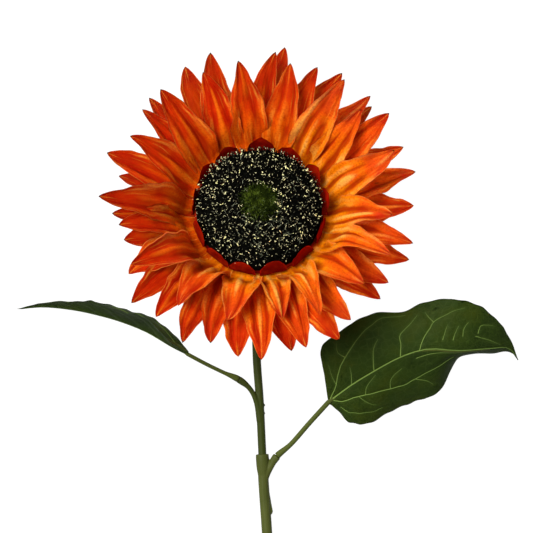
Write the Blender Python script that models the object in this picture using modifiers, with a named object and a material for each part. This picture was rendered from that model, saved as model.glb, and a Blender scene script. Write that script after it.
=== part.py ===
"""A cut sunflower with orange petals, laid on its back. Metres, +Z up.

The head looks up and leans a little towards +Y. The stem runs along the table towards -Y, and its two leaves
spread to the sides. The origin is on the table, under the middle of the whole flower.
"""

import collections
import math
import random

import bmesh
import bpy
from mathutils import Vector

MM = 0.001
MERGE = 0.01 * MM
GAP = 0.3 * MM
SHARP_ANGLE = math.radians(40)

# Head. Its own frame has Z along the head's axis, towards the viewer, and zero at the back of the disc.
HEAD_CENTRE = Vector((-4.5, 68.9, 42.0)) * MM
HEAD_TILT = math.radians(19)
DISC_RADIUS = 34.6 * MM
DISC_RIM = 2.0 * MM
DISC_CROWN = 15.0 * MM
DISC_ROUNDNESS = 2.2
FLORETS_AROUND = 40
FLORET_RINGS = 9
FLORET_RELIEF = 1.0 * MM
TUFT_RADIUS = 10.0 * MM
TUFT_DEPTH = 3.0 * MM
TUFT_RISE = 2.0 * MM
TUFT_EDGE = 0.2 * MM
TUFT_RELIEF = 0.7 * MM
TUFT_RINGS = 4
TUFT_SIDES = 16
PIN_RADIUS = 4.0 * MM
PIN_TIP = 3.5 * MM

# Rings that carry the petals, stacked behind the disc on the calyx's pin.
RING_RADIUS = 34.0 * MM
RING_THICKNESS = 2.0 * MM
RING_PITCH = RING_THICKNESS + GAP
RING_SIDES = 40

# Petals. Angles are in degrees. A layer's petals lift from the ring's plane and curl back towards their tips.
# Towards the bottom of the flower they do both more, by sag, and also fold over in the middle of their length.
# Neighbours lift by turns more and less.
PETAL_THICKNESS = 0.7 * MM
PETAL_ROOT = 29.5 * MM
PETAL_FLAT = 6.5 * MM
PETAL_BEND = 8.0 * MM
PETAL_ROWS = 7
PETAL_ROLL = 0.4
PETAL_HOOK = 6.0 * MM
PETAL_POINTS = 0.8, 1.15
CUP_START = 0.12
CUP_SPAN = 0.3
FOLD_START = 0.46
FOLD_SPAN = 0.26
FOLD_SHARE = 0.6
LIFT_STEP = 4.0
LIFT_SPREAD = 1.5
CURL_SPREAD = 5
LOW_LIFT_SHARE = 1.0
AIM_AT_ROOT = 0.35
SPINE_STEPS = 40
AIM_TRIES = 20
Layer = collections.namedtuple("Layer", "name level lift curl sag fold half_width cup keel columns seed tips")
# A tip is where it shows from in front: degrees clockwise from the top, and millimetres from the head's axis.
LAYERS = (
    Layer("petals_front", 3, 50, 26, 26, 56, 11.2 * MM, 0.20, 0.16, 4, 5, (
        (12, 83.6), (33, 86.2), (45, 78.9), (66, 81.0), (92, 73.1), (109, 75.1), (125, 69.5), (150, 65.6),
        (168, 60.1), (196, 62.0), (220, 67.8), (247, 75.1), (264, 76.7), (275, 87.2), (300, 81.8),
        (321, 85.8), (338, 82.8), (352, 83.6))),
    Layer("petals_middle", 2, 30, 22, -4, 12, 10.5 * MM, 0.14, 0.10, 2, 8, (
        (6, 88.8), (22, 86.2), (44, 88.8), (53, 89.7), (76, 89.0), (102, 86.1), (119, 81.1), (140, 77.9),
        (161, 79.0), (179, 81.1), (200, 76.7), (224, 80.7), (244, 79.3), (269, 80.7), (291, 90.1),
        (311, 85.7), (343, 91.9))),
    Layer("petals_back", 1, 14, 16, 0, 0, 10.5 * MM, 0.10, 0.10, 2, 3, (
        (9, 92.3), (31, 89.2), (47, 85.7), (66, 87.7), (88, 85.5), (108, 86.6), (126, 82.3), (148, 82.9),
        (167, 78.5), (188, 80.1), (210, 82.9), (234, 85.7), (258, 76.0), (284, 80.0), (316, 87.9),
        (333, 90.8))),
)

# Short dark lobes that hold the disc's rim. They stand up at the top of the flower and lean in at the bottom.
LOBES = 13
LOBE_ROOT = 33.0 * MM
LOBE_FLAT = 2.7 * MM
LOBE_BEND = 2.6 * MM
LOBE_LENGTH = 17.5 * MM
LOBE_HALF_WIDTH = 7.5 * MM
LOBE_LIFT = 86
LOBE_LOW_LIFT = 17
LOBE_LIFT_SPREAD = 6
LOBE_CURL = 12
LOBE_RING_RADIUS = 35.6 * MM
LOBE_ROWS = 4
LOBE_COLUMNS = 2

# Calyx: a cup with a pin in front, a socket for the stem behind, and green bracts round it.
CUP_RADIUS = 30.0 * MM
CUP_DEPTH = 17.5 * MM
CUP_BENDS = 5
CUP_SIDES = 28
SOCKET_RADIUS = 3.4 * MM
SOCKET_DEPTH = 6.0 * MM
NECK_WALL = 1.8 * MM
BRACTS = 14
BRACT_ROOT = 22.5 * MM
BRACT_FLAT = 5.0 * MM
BRACT_LENGTH = 41.0 * MM
BRACT_HALF_WIDTH = 7.5 * MM
BRACT_DROP = 4.0 * MM
BRACT_REST = 0.5 * MM
BRACT_ROWS = 5
BRACT_COLUMNS = 2
BRACT_CUP = 0.12
BRACT_KEEL = 0.10
BRACT_SWAY = 3.0 * MM
BRACT_ROLL = 0.1
BRACT_DROOP = 9
BRACT_CURL = 24
BRACT_THICKNESS = 0.9 * MM

# Stem. Its points are x, y from the head's centre and height over the table, in millimetres.
NECK_BEND = 15.5 * MM
NECK_RADIUS = 2.8 * MM
NECK_STEPS = 8
STEM_STEPS = 14
STEM_ROUTE = ((-1.6, -45, 4.9), (-1.4, -80, 4.9), (0.3, -105, 4.8), (1.6, -132, 4.7), (2.2, -146.8, 4.62))
STEM_RADIUS = 2.3 * MM
FOOT_ROUTE = ((1.7, -135.5, 4.7), (2.5, -152, 4.6), (4.1, -175, 4.0), (5.6, -200, 3.5), (7.2, -230, 3.05))
FOOT_RADIUS = 2.95 * MM
FOOT_STEPS = 16
SLEEVE_LENGTH = 18.0 * MM
SLEEVE_RADII = (3.6 * MM, 3.7 * MM, 3.7 * MM, 3.6 * MM, 3.4 * MM, 2.9 * MM)
SEAT_CLEARANCE = 0.5 * MM
PLUG_DEPTH = 12.0 * MM
TUBE_RESOLUTION = 2

# Arms: each runs from inside the stem out to the blade. The stem's branch goes as far as the point numbered
# joint, and there the leaf's stalk plugs in.
Arm = collections.namedtuple("Arm", "joint radius points")
LEFT_ARM = Arm(3, 2.0 * MM, (
    (0.5, -117, 5.2), (-1.3, -107, 6.0), (-5.0, -99, 7.2), (-11.5, -93.5, 9.2), (-20.0, -89.5, 12.5),
    (-30.0, -84.5, 17.0), (-39.6, -79.2, 22.0)))
RIGHT_ARM = Arm(2, 2.3 * MM, (
    (2.6, -150, 4.8), (5.4, -144, 5.2), (10.0, -136.5, 5.8), (18.0, -129.5, 6.8), (28.0, -118.0, 8.4),
    (38.5, -106.4, 10.0)))
ARM_STEPS = 8
STALK_RADIUS = 1.5 * MM
STALK_FOOT_RADIUS = 1.9 * MM
PLUG_RADIUS = 1.0 * MM
PLUG_LENGTH = 3.0 * MM
RIB_REACH = 0.78
RIB_TAPER = 0.44

# Leaf blades: stations from base to tip, each with a point on the rib, one edge and the other edge.
BLADE_THICKNESS = 0.8 * MM
BLADE_ROWS = 13
BLADE_COLUMNS = 4
RIGHT_BLADE = (
    ((38.5, -106.4, 10), (38.0, -104.6, 10), (39.8, -107.4, 10)),
    ((43.5, -102.6, 12), (36.3, -91.6, 14), (44.6, -112.2, 7)),
    ((51.2, -96.8, 16), (34.1, -76.5, 19), (50.6, -117.7, 5)),
    ((62.2, -89.9, 20), (45.1, -66.6, 23), (65.5, -115.8, 4)),
    ((78.7, -80.9, 23), (66.6, -56.1, 22), (84.2, -107.8, 5)),
    ((94.0, -76.5, 24), (93.0, -49.5, 21), (100.7, -99.6, 4)),
    ((110.6, -77.6, 22), (116.0, -49.8, 22), (111.7, -83.1, 3)),
    ((128.7, -76.5, 16), (133.7, -60.8, 17), (127.5, -79.5, 4)),
    ((139.2, -76.5, 9), (140.5, -71.5, 9), (138.5, -78.0, 4)),
    ((145.5, -83.6, 2), (145.5, -83.6, 2), (145.5, -83.6, 2)),
)
LEFT_BLADE = (
    ((-39.6, -79.2, 22), (-39.0, -78.2, 23.5), (-39.0, -77.6, 20.5)),
    ((-48.7, -74.5, 25), (-48.9, -72.0, 36), (-46.9, -68.2, 15)),
    ((-61.9, -66.6, 28), (-61.0, -59.1, 50), (-58.9, -59.5, 7)),
    ((-76.2, -60.8, 29), (-74.3, -55.0, 53), (-72.0, -54.8, 4)),
    ((-90.2, -56.9, 27), (-88.6, -49.8, 47), (-87.0, -51.0, 5)),
    ((-104.0, -54.2, 22), (-101.8, -49.5, 35), (-101.5, -49.5, 8)),
    ((-120.5, -52.8, 15), (-119.4, -50.3, 21), (-119.0, -50.3, 9)),
    ((-136.4, -54.2, 7), (-136.4, -54.2, 7), (-136.4, -54.2, 7)),
)

BLADE_WAVES = 3.5
BLADE_WAVE_HEIGHT = 1.6 * MM
BLADE_ARCH = 0.24


def clear_scene():
    for obj in list(bpy.data.objects):
        bpy.data.objects.remove(obj)


def collection(name):
    made = bpy.data.collections.new(name)
    bpy.context.scene.collection.children.link(made)
    return made


def material(name, colour, roughness):
    made = bpy.data.materials.new(name)
    made.use_nodes = True
    shader = made.node_tree.nodes["Principled BSDF"]
    shader.inputs["Base Color"].default_value = (*colour, 1)
    shader.inputs["Roughness"].default_value = roughness
    shader.inputs["Metallic"].default_value = 0
    return made


def object_from(bm, name, finish, parent=None):
    mesh = bpy.data.meshes.new(name)
    bm.to_mesh(mesh)
    bm.free()
    mesh.shade_smooth()
    mesh.set_sharp_from_angle(angle=SHARP_ANGLE)
    mesh.materials.append(finish)
    made = bpy.data.objects.new(name, mesh)
    flower.objects.link(made)
    made.parent = parent
    return made


def ease(t):
    """0 below 0, 1 above 1, and smooth between."""
    t = min(max(t, 0.0), 1.0)
    return t * t * (3 - 2 * t)


def along(points, t):
    """A point on the smooth curve through the points, with t from 0 at the first to 1 at the last."""
    place = min(max(t, 0.0), 1.0) * (len(points) - 1)
    i = min(int(place), len(points) - 2)
    t = place - i
    a, b, c, d = (points[min(max(k, 0), len(points) - 1)] for k in (i - 1, i, i + 1, i + 2))
    return b + t * 0.5 * (c - a + t * (2 * a - 5 * b + 4 * c - d + t * (3 * (b - c) + d - a)))


def on_table(route):
    """Points given from the head's centre and the table, in millimetres, in the flower's frame."""
    foot = Vector((HEAD_CENTRE.x, HEAD_CENTRE.y, 0))
    return [foot + Vector(point) * MM for point in route]


def sheet(name, rows, columns, place, thickness, finish, parent=None):
    """A thin bent blade. place(u, v) gives its points: u from 0 at the root to 1, v from -1 to 1 across."""
    bm = bmesh.new()
    bmesh.ops.create_grid(bm, x_segments=columns, y_segments=rows, size=1)
    for vert in bm.verts:
        vert.co = place((vert.co.y + 1) / 2, vert.co.x)
    bmesh.ops.remove_doubles(bm, verts=bm.verts, dist=MERGE)
    bmesh.ops.triangulate(bm, faces=bm.faces)
    blade = object_from(bm, name, finish, parent)
    solidify = blade.modifiers.new("thickness", "SOLIDIFY")
    solidify.thickness = thickness
    solidify.offset = 0
    return blade


def turned(name, profile, steps, finish, parent=None, closed=False):
    """A shape turned about Z from (radius, height) points, which run from the top down the outer side."""
    bm = bmesh.new()
    verts = [bm.verts.new((radius, 0, height)) for radius, height in profile]
    for pair in zip(verts, verts[1:] + verts[:closed]):
        bm.edges.new(pair)
    made = object_from(bm, name, finish, parent)
    screw = made.modifiers.new("turn", "SCREW")
    screw.steps = screw.render_steps = steps
    screw.use_merge_vertices = True
    screw.merge_threshold = MERGE
    return made


def evaluated_mesh(obj):
    graph = bpy.context.evaluated_depsgraph_get()
    return bpy.data.meshes.new_from_object(obj.evaluated_get(graph), depsgraph=graph)


def tube(name, points, radii, finish):
    """A round rod along the points, with a radius at each, as a closed mesh."""
    curve = bpy.data.curves.new(name, "CURVE")
    curve.dimensions = "3D"
    curve.bevel_depth = 1
    curve.bevel_resolution = TUBE_RESOLUTION
    curve.use_fill_caps = True
    spline = curve.splines.new("POLY")
    spline.points.add(len(points) - 1)
    for point, place, radius in zip(spline.points, points, radii):
        point.co = (*place, 1)
        point.radius = radius
    rod = bpy.data.objects.new(name, curve)
    flower.objects.link(rod)
    bpy.context.view_layer.update()
    mesh = evaluated_mesh(rod)
    bpy.data.objects.remove(rod)
    bm = bmesh.new()
    bm.from_mesh(mesh)
    bmesh.ops.remove_doubles(bm, verts=bm.verts, dist=MERGE)
    return object_from(bm, name, finish)


def apply_modifiers(obj):
    bpy.context.view_layer.update()
    mesh = evaluated_mesh(obj)
    obj.modifiers.clear()
    obj.data = mesh


def raise_relief(obj, relief):
    """Moves each point of the object's finished mesh by the relief there, and leaves flat triangles."""
    apply_modifiers(obj)
    bm = bmesh.new()
    bm.from_mesh(obj.data)
    for vert in bm.verts:
        vert.co += relief(vert.co)
    bmesh.ops.triangulate(bm, faces=bm.faces)
    bm.to_mesh(obj.data)
    bm.free()
    obj.data.shade_flat()
    return obj


def fuse(body, pieces):
    """Joins the pieces to the body and removes them."""
    group = collection(body.name + "_pieces")
    for piece in pieces:
        flower.objects.unlink(piece)
        group.objects.link(piece)
    union = body.modifiers.new("fuse", "BOOLEAN")
    union.operation = "UNION"
    union.operand_type = "COLLECTION"
    union.collection = group
    apply_modifiers(body)
    for piece in pieces:
        bpy.data.objects.remove(piece)
    bpy.data.collections.remove(group)
    return body


def cut(body, cutter):
    difference = body.modifiers.new("cut", "BOOLEAN")
    difference.operation = "DIFFERENCE"
    difference.object = cutter
    apply_modifiers(body)
    bpy.data.objects.remove(cutter)


def petal_outline(point):
    """Half a petal's width at u, as a share of its widest. A point above 1 draws the tip out."""
    def outline(u):
        taper = math.cos(math.pi / 2 * min(max((u - 0.3) / 0.7, 0.0), 1.0))
        body = 0.19 + 0.81 * max(taper, 0) ** point
        return (0.58 + 0.42 * ease(u / 0.42)) * body * max(1 - u ** 14, 0) ** 0.5
    return outline


def lobe_outline(u):
    return (0.85 + 0.15 * ease(u / 0.4)) * max(1 - u ** 2.4, 0) ** 0.75


def bract_outline(u):
    return (0.75 + 0.25 * ease(u / 0.25)) * max(1 - u ** 1.7, 0) ** 1.1


def spine(length, lift, curl, fold=0.0, flat=PETAL_FLAT, bend=PETAL_BEND):
    """A petal's midline, flat at its ring, then lifted, folded over and curled, as (distance, height)."""
    points = [Vector((0, 0))]
    for step in range(SPINE_STEPS):
        u = (step + 0.5) / SPINE_STEPS
        angle = lift * ease((u * length - flat) / bend) - curl * u
        angle -= fold * ease((u - FOLD_START) / FOLD_SPAN)
        points.append(points[-1] + Vector((math.cos(angle), math.sin(angle))) * length / SPINE_STEPS)
    return points


def petal_surface(
        azimuth, root, level, line, sway, half_width, outline, cup, keel, roll, hook=0.0, cup_start=CUP_START):
    """The bent sheet of one petal along its midline, as a function of u and v, in the head's frame.

    azimuth is clockwise from the top, sway is how far the tip lies to the side of it, and hook how far the
    middle bulges sideways. Up to cup_start it isn't cupped.
    """
    out = Vector((math.sin(azimuth), math.cos(azimuth), 0))
    side = Vector((math.cos(azimuth), -math.sin(azimuth), 0))
    up = Vector((0, 0, 1))

    def midline(u):
        distance, height = along(line, u)
        u = max(u, 0.0)
        aside = sway * u ** 1.7 + hook * (u ** 1.7 - u ** 4)
        return out * (root + distance) + up * (level + height) + side * aside

    def place(u, v):
        u = min(max(u, 0.0), 1.0) ** 1.25
        step = (midline(u + 0.01) - midline(u - 0.01)).normalized()
        across = (side - step * side.dot(step)).normalized()
        face = across.cross(step)
        turn = roll * u
        width = half_width * outline(u)
        fold = width * (keel * math.cos(math.pi * v) ** 2 + cup * v * v) * ease((u - cup_start) / CUP_SPAN)
        across, face = (
            across * math.cos(turn) + face * math.sin(turn),
            face * math.cos(turn) - across * math.sin(turn),
        )
        return midline(u) + across * width * v + face * fold

    return place


def reach_petal(layer, degrees, reach, lift, curl, fold):
    """The azimuth on the head and the midline that bring a petal's tip where it shows from in front."""
    shown_x = reach * math.sin(math.radians(degrees))
    shown_y = reach * math.cos(math.radians(degrees))
    length = reach - PETAL_ROOT
    for _ in range(AIM_TRIES):
        line = spine(length, lift, curl, fold)
        height = ring_level(layer.level) + line[-1].y
        true_y = (shown_y - height * math.sin(HEAD_TILT)) / math.cos(HEAD_TILT)
        distance = math.hypot(shown_x, true_y)
        length *= (distance - PETAL_ROOT) / line[-1].x
    return math.atan2(shown_x, true_y), distance, line


def ring_level(place):
    """Height of the middle of a ring in the head's frame, with rings 1 to 4 from back to front."""
    return -GAP - RING_THICKNESS / 2 - (4 - place) * RING_PITCH


def ring(name, place, radius, finish):
    """A flat ring that a layer of petals grows from, with the calyx's pin through it."""
    top = ring_level(place) + RING_THICKNESS / 2
    low = top - RING_THICKNESS
    hole = PIN_RADIUS + 2 * GAP
    corners = [(radius, top), (radius, low), (hole, low), (hole, top)]
    return turned(name, corners, RING_SIDES, finish, head, closed=True)


def nearest_turn(angle):
    return (angle + math.pi) % math.tau - math.pi


def petal_layer(layer, finish):
    """One ring of petals. Roots stand nearly evenly, and each tip reaches its own place."""
    draw = random.Random(layer.seed)
    step = math.tau / len(layer.tips)
    aims = []
    for index, (degrees, reach) in enumerate(layer.tips):
        low = (1 - math.cos(math.radians(degrees))) / 2
        lift = layer.lift + layer.sag * LOW_LIFT_SHARE * low + LIFT_STEP * (-1) ** (index + 1)
        lift += draw.uniform(-LIFT_SPREAD, LIFT_SPREAD)
        curl = layer.curl + layer.sag * low * (1 - FOLD_SHARE * (layer.fold > 0))
        curl += draw.uniform(-CURL_SPREAD, CURL_SPREAD)
        bends = [math.radians(angle) for angle in (lift, curl, layer.fold * low ** 2)]
        aims.append(reach_petal(layer, degrees, reach * MM, *bends))
    first = sum(nearest_turn(aim[0] - index * step) for index, aim in enumerate(aims)) / len(aims)
    petals = []
    for index, (azimuth, distance, line) in enumerate(aims):
        even = first + index * step
        off = nearest_turn(azimuth - even)
        sway = distance * math.sin((1 - AIM_AT_ROOT) * off)
        half_width = layer.half_width * draw.uniform(0.92, 1.06)
        cup, keel = layer.cup * draw.uniform(0.5, 1.3), layer.keel * draw.uniform(0.4, 1.4)
        roll, hook = draw.uniform(-PETAL_ROLL, PETAL_ROLL), draw.uniform(-PETAL_HOOK, PETAL_HOOK)
        outline = petal_outline(draw.uniform(*PETAL_POINTS))
        surface = petal_surface(
            even + AIM_AT_ROOT * off, PETAL_ROOT, ring_level(layer.level), line, sway, half_width, outline,
            cup, keel, roll, hook)
        name = f"petal_{index}"
        petals.append(sheet(name, PETAL_ROWS, layer.columns, surface, PETAL_THICKNESS, finish, head))
    return fuse(ring(layer.name, layer.level, RING_RADIUS, finish), petals)


def lobe_ring(finish):
    """Short rounded lobes that stand up round the disc's rim."""
    draw = random.Random(11)
    lobes = []
    for index in range(LOBES):
        length = LOBE_LENGTH * draw.uniform(0.85, 1.1)
        curl = math.radians(draw.uniform(0, LOBE_CURL))
        azimuth = (index + draw.uniform(-0.08, 0.08)) * math.tau / LOBES
        lift = LOBE_LIFT + LOBE_LOW_LIFT * (1 - math.cos(azimuth)) / 2
        lift = math.radians(lift + draw.uniform(-LOBE_LIFT_SPREAD, LOBE_LIFT_SPREAD))
        surface = petal_surface(
            azimuth, LOBE_ROOT, ring_level(4), spine(length, lift, curl, 0.0, LOBE_FLAT, LOBE_BEND), 0,
            LOBE_HALF_WIDTH, lobe_outline, draw.uniform(0.04, 0.12), 0.04, draw.uniform(-0.1, 0.1))
        lobes.append(sheet(f"lobe_{index}", LOBE_ROWS, LOBE_COLUMNS, surface, PETAL_THICKNESS, finish, head))
    return fuse(ring("petals_inner", 4, LOBE_RING_RADIUS, finish), lobes)


def dome(radius):
    """Height of the disc's face at this distance from the axis."""
    share = min(radius / DISC_RADIUS, 1.0)
    return DISC_RIM + (DISC_CROWN - DISC_RIM) * (1 - share ** DISC_ROUNDNESS) ** (1 / DISC_ROUNDNESS)


def floret_relief(point):
    """Raises every second point of the dome, so that the florets run in crossing spirals."""
    radius = math.hypot(point.x, point.y)
    ring_of = round((radius - TUFT_RADIUS) / (DISC_RADIUS - TUFT_RADIUS) * FLORET_RINGS)
    seat = round(math.atan2(point.y, point.x) / math.tau * FLORETS_AROUND)
    if point.z < DISC_RIM - MERGE or radius < TUFT_RADIUS + MERGE or (ring_of + seat) % 2:
        return Vector()
    lean = radius / DISC_RADIUS
    return Vector((point.x / radius * lean, point.y / radius * lean, 1)).normalized() * FLORET_RELIEF


def seed_disc(finish):
    """The dark seed head: a dome with floret relief, a seat for the tuft, and a blind hole for the pin."""
    rings = [TUFT_RADIUS + (DISC_RADIUS - TUFT_RADIUS) * k / FLORET_RINGS for k in range(FLORET_RINGS + 1)]
    seat = dome(TUFT_RADIUS) - TUFT_DEPTH
    hole = PIN_RADIUS + 2 * GAP
    profile = [(0, seat), (TUFT_RADIUS, seat)]
    profile += [(radius, dome(radius)) for radius in rings]
    profile += [(DISC_RADIUS, 0), (hole, 0), (hole, PIN_TIP + GAP), (0, PIN_TIP + GAP)]
    return raise_relief(turned("disc", profile, FLORETS_AROUND, finish, head), floret_relief)


def tuft_relief(point):
    """Raises every second point of the tuft's top."""
    radius = math.hypot(point.x, point.y)
    seat = round(math.atan2(point.y, point.x) / math.tau * TUFT_SIDES)
    odd = (seat + round(radius / TUFT_RADIUS * TUFT_RINGS)) % 2
    return Vector((0, 0, TUFT_RELIEF)) if point.z > dome(TUFT_RADIUS) and radius > MERGE and odd else Vector()


def green_tuft(finish):
    """The green unopened florets in the middle, in their seat on the disc."""
    radius = TUFT_RADIUS - 2 * GAP
    seat = dome(TUFT_RADIUS) - TUFT_DEPTH + GAP
    shares = [k / TUFT_RINGS for k in range(TUFT_RINGS + 1)]
    profile = [
        (radius * share, dome(TUFT_RADIUS) + TUFT_EDGE + TUFT_RISE * math.cos(math.pi / 2 * share))
        for share in shares]
    profile += [(radius, seat), (0, seat)]
    return raise_relief(turned("disc_centre", profile, TUFT_SIDES, finish, head), tuft_relief)


def cup_back():
    """Height of the cup's front face, just behind the last ring of petals, in the head's frame."""
    return ring_level(1) - RING_THICKNESS / 2 - GAP


def bract(index, draw, finish):
    """One pointed bract, spread behind the petals. The table presses up those that would reach below it."""
    level = cup_back() - BRACT_DROP
    length = BRACT_LENGTH * draw.uniform(0.94, 1.04)
    sway, roll = draw.uniform(-BRACT_SWAY, BRACT_SWAY), draw.uniform(-BRACT_ROLL, BRACT_ROLL)

    def curled(curl):
        line = spine(length, -math.radians(BRACT_DROOP), math.radians(curl), flat=BRACT_FLAT)
        return petal_surface(
            (index + 0.5) * math.tau / BRACTS, BRACT_ROOT, level, line, sway, BRACT_HALF_WIDTH, bract_outline,
            BRACT_CUP, BRACT_KEEL, roll, cup_start=0.0)

    curl = BRACT_CURL
    while (head.matrix_world @ curled(curl)(1, 0)).z < BRACT_REST:
        curl -= 1
    return sheet(f"bract_{index}", BRACT_ROWS, BRACT_COLUMNS, curled(curl), BRACT_THICKNESS, finish, head)


def calyx(finish):
    """The green cup behind the petals, with its pin, its stem socket and a whorl of pointed bracts."""
    back = cup_back()
    foot = back - CUP_DEPTH
    neck = SOCKET_RADIUS + NECK_WALL
    profile = [(0, PIN_TIP), (PIN_RADIUS, PIN_TIP), (PIN_RADIUS, back), (CUP_RADIUS - MM, back)]
    for k in range(CUP_BENDS + 1):
        turn = math.pi / 2 * k / CUP_BENDS
        radius = neck + (CUP_RADIUS - neck) * math.cos(turn) ** 0.8
        profile.append((radius, back - MM - CUP_DEPTH * 0.62 * math.sin(turn)))
    profile += [(neck, foot), (SOCKET_RADIUS, foot)]
    profile += [(SOCKET_RADIUS, foot + SOCKET_DEPTH), (0, foot + SOCKET_DEPTH)]
    draw = random.Random(2)
    bracts = [bract(index, draw, finish) for index in range(BRACTS)]
    return fuse(turned("calyx", profile, CUP_SIDES, finish, head), bracts)


def on_arm(arm, first, last, steps):
    """Points along an arm between two of its numbered points."""
    route = on_table(arm.points)
    end = len(route) - 1
    return [along(route, (first + (last - first) * k / steps) / end) for k in range(steps + 1)]


def joint_of(arm):
    """Where the stalk meets its branch, and the way the stalk leaves."""
    before, place, after = on_arm(arm, arm.joint - 0.05, arm.joint + 0.05, 2)
    return place, (after - before).normalized()


def add_branch(stem, arm, finish):
    """Fuses an arm's branch to the stem, with the hole that takes the stalk's plug."""
    route = on_arm(arm, 0, arm.joint, ARM_STEPS)
    fuse(stem, [tube("branch", route, [arm.radius] * len(route), finish)])
    place, heading = joint_of(arm)
    ends = [place + heading * MM, place - heading * (PLUG_LENGTH + GAP)]
    cut(stem, tube("mouth", ends, [PLUG_RADIUS + GAP] * 2, finish))


def neck():
    """Points from inside the calyx's socket, round the bend, to where the stem runs level."""
    axis = Vector((0, math.sin(HEAD_TILT), math.cos(HEAD_TILT)))
    ahead = Vector((0, -math.cos(HEAD_TILT), math.sin(HEAD_TILT)))
    foot = cup_back() - CUP_DEPTH
    top = HEAD_CENTRE + axis * (foot + SOCKET_DEPTH - GAP)
    start = HEAD_CENTRE + axis * (foot - 2 * GAP)
    points = [top, top.lerp(start, 0.5)]
    for k in range(NECK_STEPS + 1):
        turn = (math.pi / 2 - HEAD_TILT) * k / NECK_STEPS
        points.append(start - axis * NECK_BEND * math.sin(turn) + ahead * NECK_BEND * (1 - math.cos(turn)))
    return points


def stem_upper(finish):
    """The stem from the calyx's socket, round the neck, to the plug in the sleeve, with the left branch."""
    bend = neck()
    run = [bend[-1]] + on_table(STEM_ROUTE)
    route = bend + [along(run, k / STEM_STEPS) for k in range(1, STEM_STEPS + 1)]
    slim = len(route) - 6
    radii = [NECK_RADIUS + (STEM_RADIUS - NECK_RADIUS) * ease(k / slim) for k in range(len(route))]
    stem = tube("stem_upper", route, radii, finish)
    add_branch(stem, LEFT_ARM, finish)
    return stem


def stem_lower(finish):
    """The thicker foot of the stem, with the sleeve that takes the upper stem and the right leaf's branch."""
    line = on_table(FOOT_ROUTE)
    route = [along(line, k / FOOT_STEPS) for k in range(FOOT_STEPS + 1)]
    foot = tube("stem_lower", route, [FOOT_RADIUS] * len(route), finish)
    reach = SLEEVE_LENGTH / (line[-1] - line[0]).length
    steps = len(SLEEVE_RADII) - 1
    sleeve_line = [along(line, reach * k / steps) for k in range(steps + 1)]
    fuse(foot, [tube("sleeve", sleeve_line, SLEEVE_RADII, finish)])
    add_branch(foot, RIGHT_ARM, finish)
    outward = (line[0] - line[1]).normalized()
    seat = [line[0] + outward * 2 * MM, line[0] - outward * PLUG_DEPTH]
    cut(foot, tube("seat", seat, [STEM_RADIUS + SEAT_CLEARANCE] * 2, finish))
    return foot


def leaf_surface(stations, phase):
    """A blade through its rib and its two edges, with waves that grow towards the edges."""
    rib, near, far = (on_table(rail) for rail in zip(*stations))

    def place(u, v):
        middle = along(rib, u)
        edge = along(near if v > 0 else far, u) - middle
        face = (along(rib, u + 0.02) - along(rib, u - 0.02)).cross(edge)
        face = face.normalized() if face.length > 0 else face
        spread = abs(v)
        wave = math.sin(math.tau * BLADE_WAVES * u + (0 if v > 0 else phase)) * math.sin(math.pi * u)
        lift = BLADE_WAVE_HEIGHT * wave * spread ** 2 + BLADE_ARCH * edge.length * spread * (1 - spread)
        return middle + edge * spread + face * lift * (1 if v > 0 else -1)

    return place


def leaf(name, arm, blade, phase, finish):
    """A leaf: its round stalk with a plug at its foot, the rib that the stalk runs on as, and its blade."""
    place, heading = joint_of(arm)
    route = [place - heading * PLUG_LENGTH, place + heading * GAP, place + heading * 1.2 * GAP]
    radii = [PLUG_RADIUS, PLUG_RADIUS, STALK_FOOT_RADIUS]
    rib = on_table([station[0] for station in blade])
    route += on_arm(arm, arm.joint, len(arm.points) - 1, ARM_STEPS)[1:]
    route += [along(rib, RIB_REACH * k / ARM_STEPS) for k in range(1, ARM_STEPS + 1)]
    for k in range(1, ARM_STEPS + 1):
        radii.append(STALK_FOOT_RADIUS + (STALK_RADIUS - STALK_FOOT_RADIUS) * ease(k / ARM_STEPS))
    for k in range(1, ARM_STEPS + 1):
        radii.append(STALK_RADIUS * (1 - RIB_TAPER * k / ARM_STEPS))
    stalk = tube(name, route, radii, finish)
    surface = leaf_surface(blade, phase)
    return fuse(stalk, [sheet("blade", BLADE_ROWS, BLADE_COLUMNS, surface, BLADE_THICKNESS, finish)])


clear_scene()
flower = collection("sunflower")
head = bpy.data.objects.new("head", None)
flower.objects.link(head)
head.location = HEAD_CENTRE
head.rotation_euler = (-HEAD_TILT, 0, 0)
bpy.context.view_layer.update()

orange = material("petal_orange", (0.80, 0.16, 0.01), 0.6)
dark_red = material("petal_dark_red", (0.25, 0.01, 0.005), 0.7)
seed_black = material("seed_black", (0.01, 0.01, 0.006), 0.9)
tuft_green = material("tuft_green", (0.05, 0.09, 0.01), 0.9)
leaf_green = material("leaf_green", (0.03, 0.06, 0.015), 0.6)
stem_green = material("stem_green", (0.10, 0.13, 0.04), 0.5)

for petals in LAYERS:
    petal_layer(petals, orange)
lobe_ring(dark_red)
seed_disc(seed_black)
green_tuft(tuft_green)
calyx(stem_green)
stem_upper(stem_green)
stem_lower(stem_green)
leaf("leaf_left", LEFT_ARM, LEFT_BLADE, 1.2, leaf_green)
leaf("leaf_right", RIGHT_ARM, RIGHT_BLADE, 1.9, leaf_green)
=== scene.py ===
"""Looks of a cut artificial sunflower that lies on its back. Metres, +Z up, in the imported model's frame."""

import collections
import math
import random

import bmesh
import bpy
from mathutils import Matrix, Vector, kdtree, noise


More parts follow.
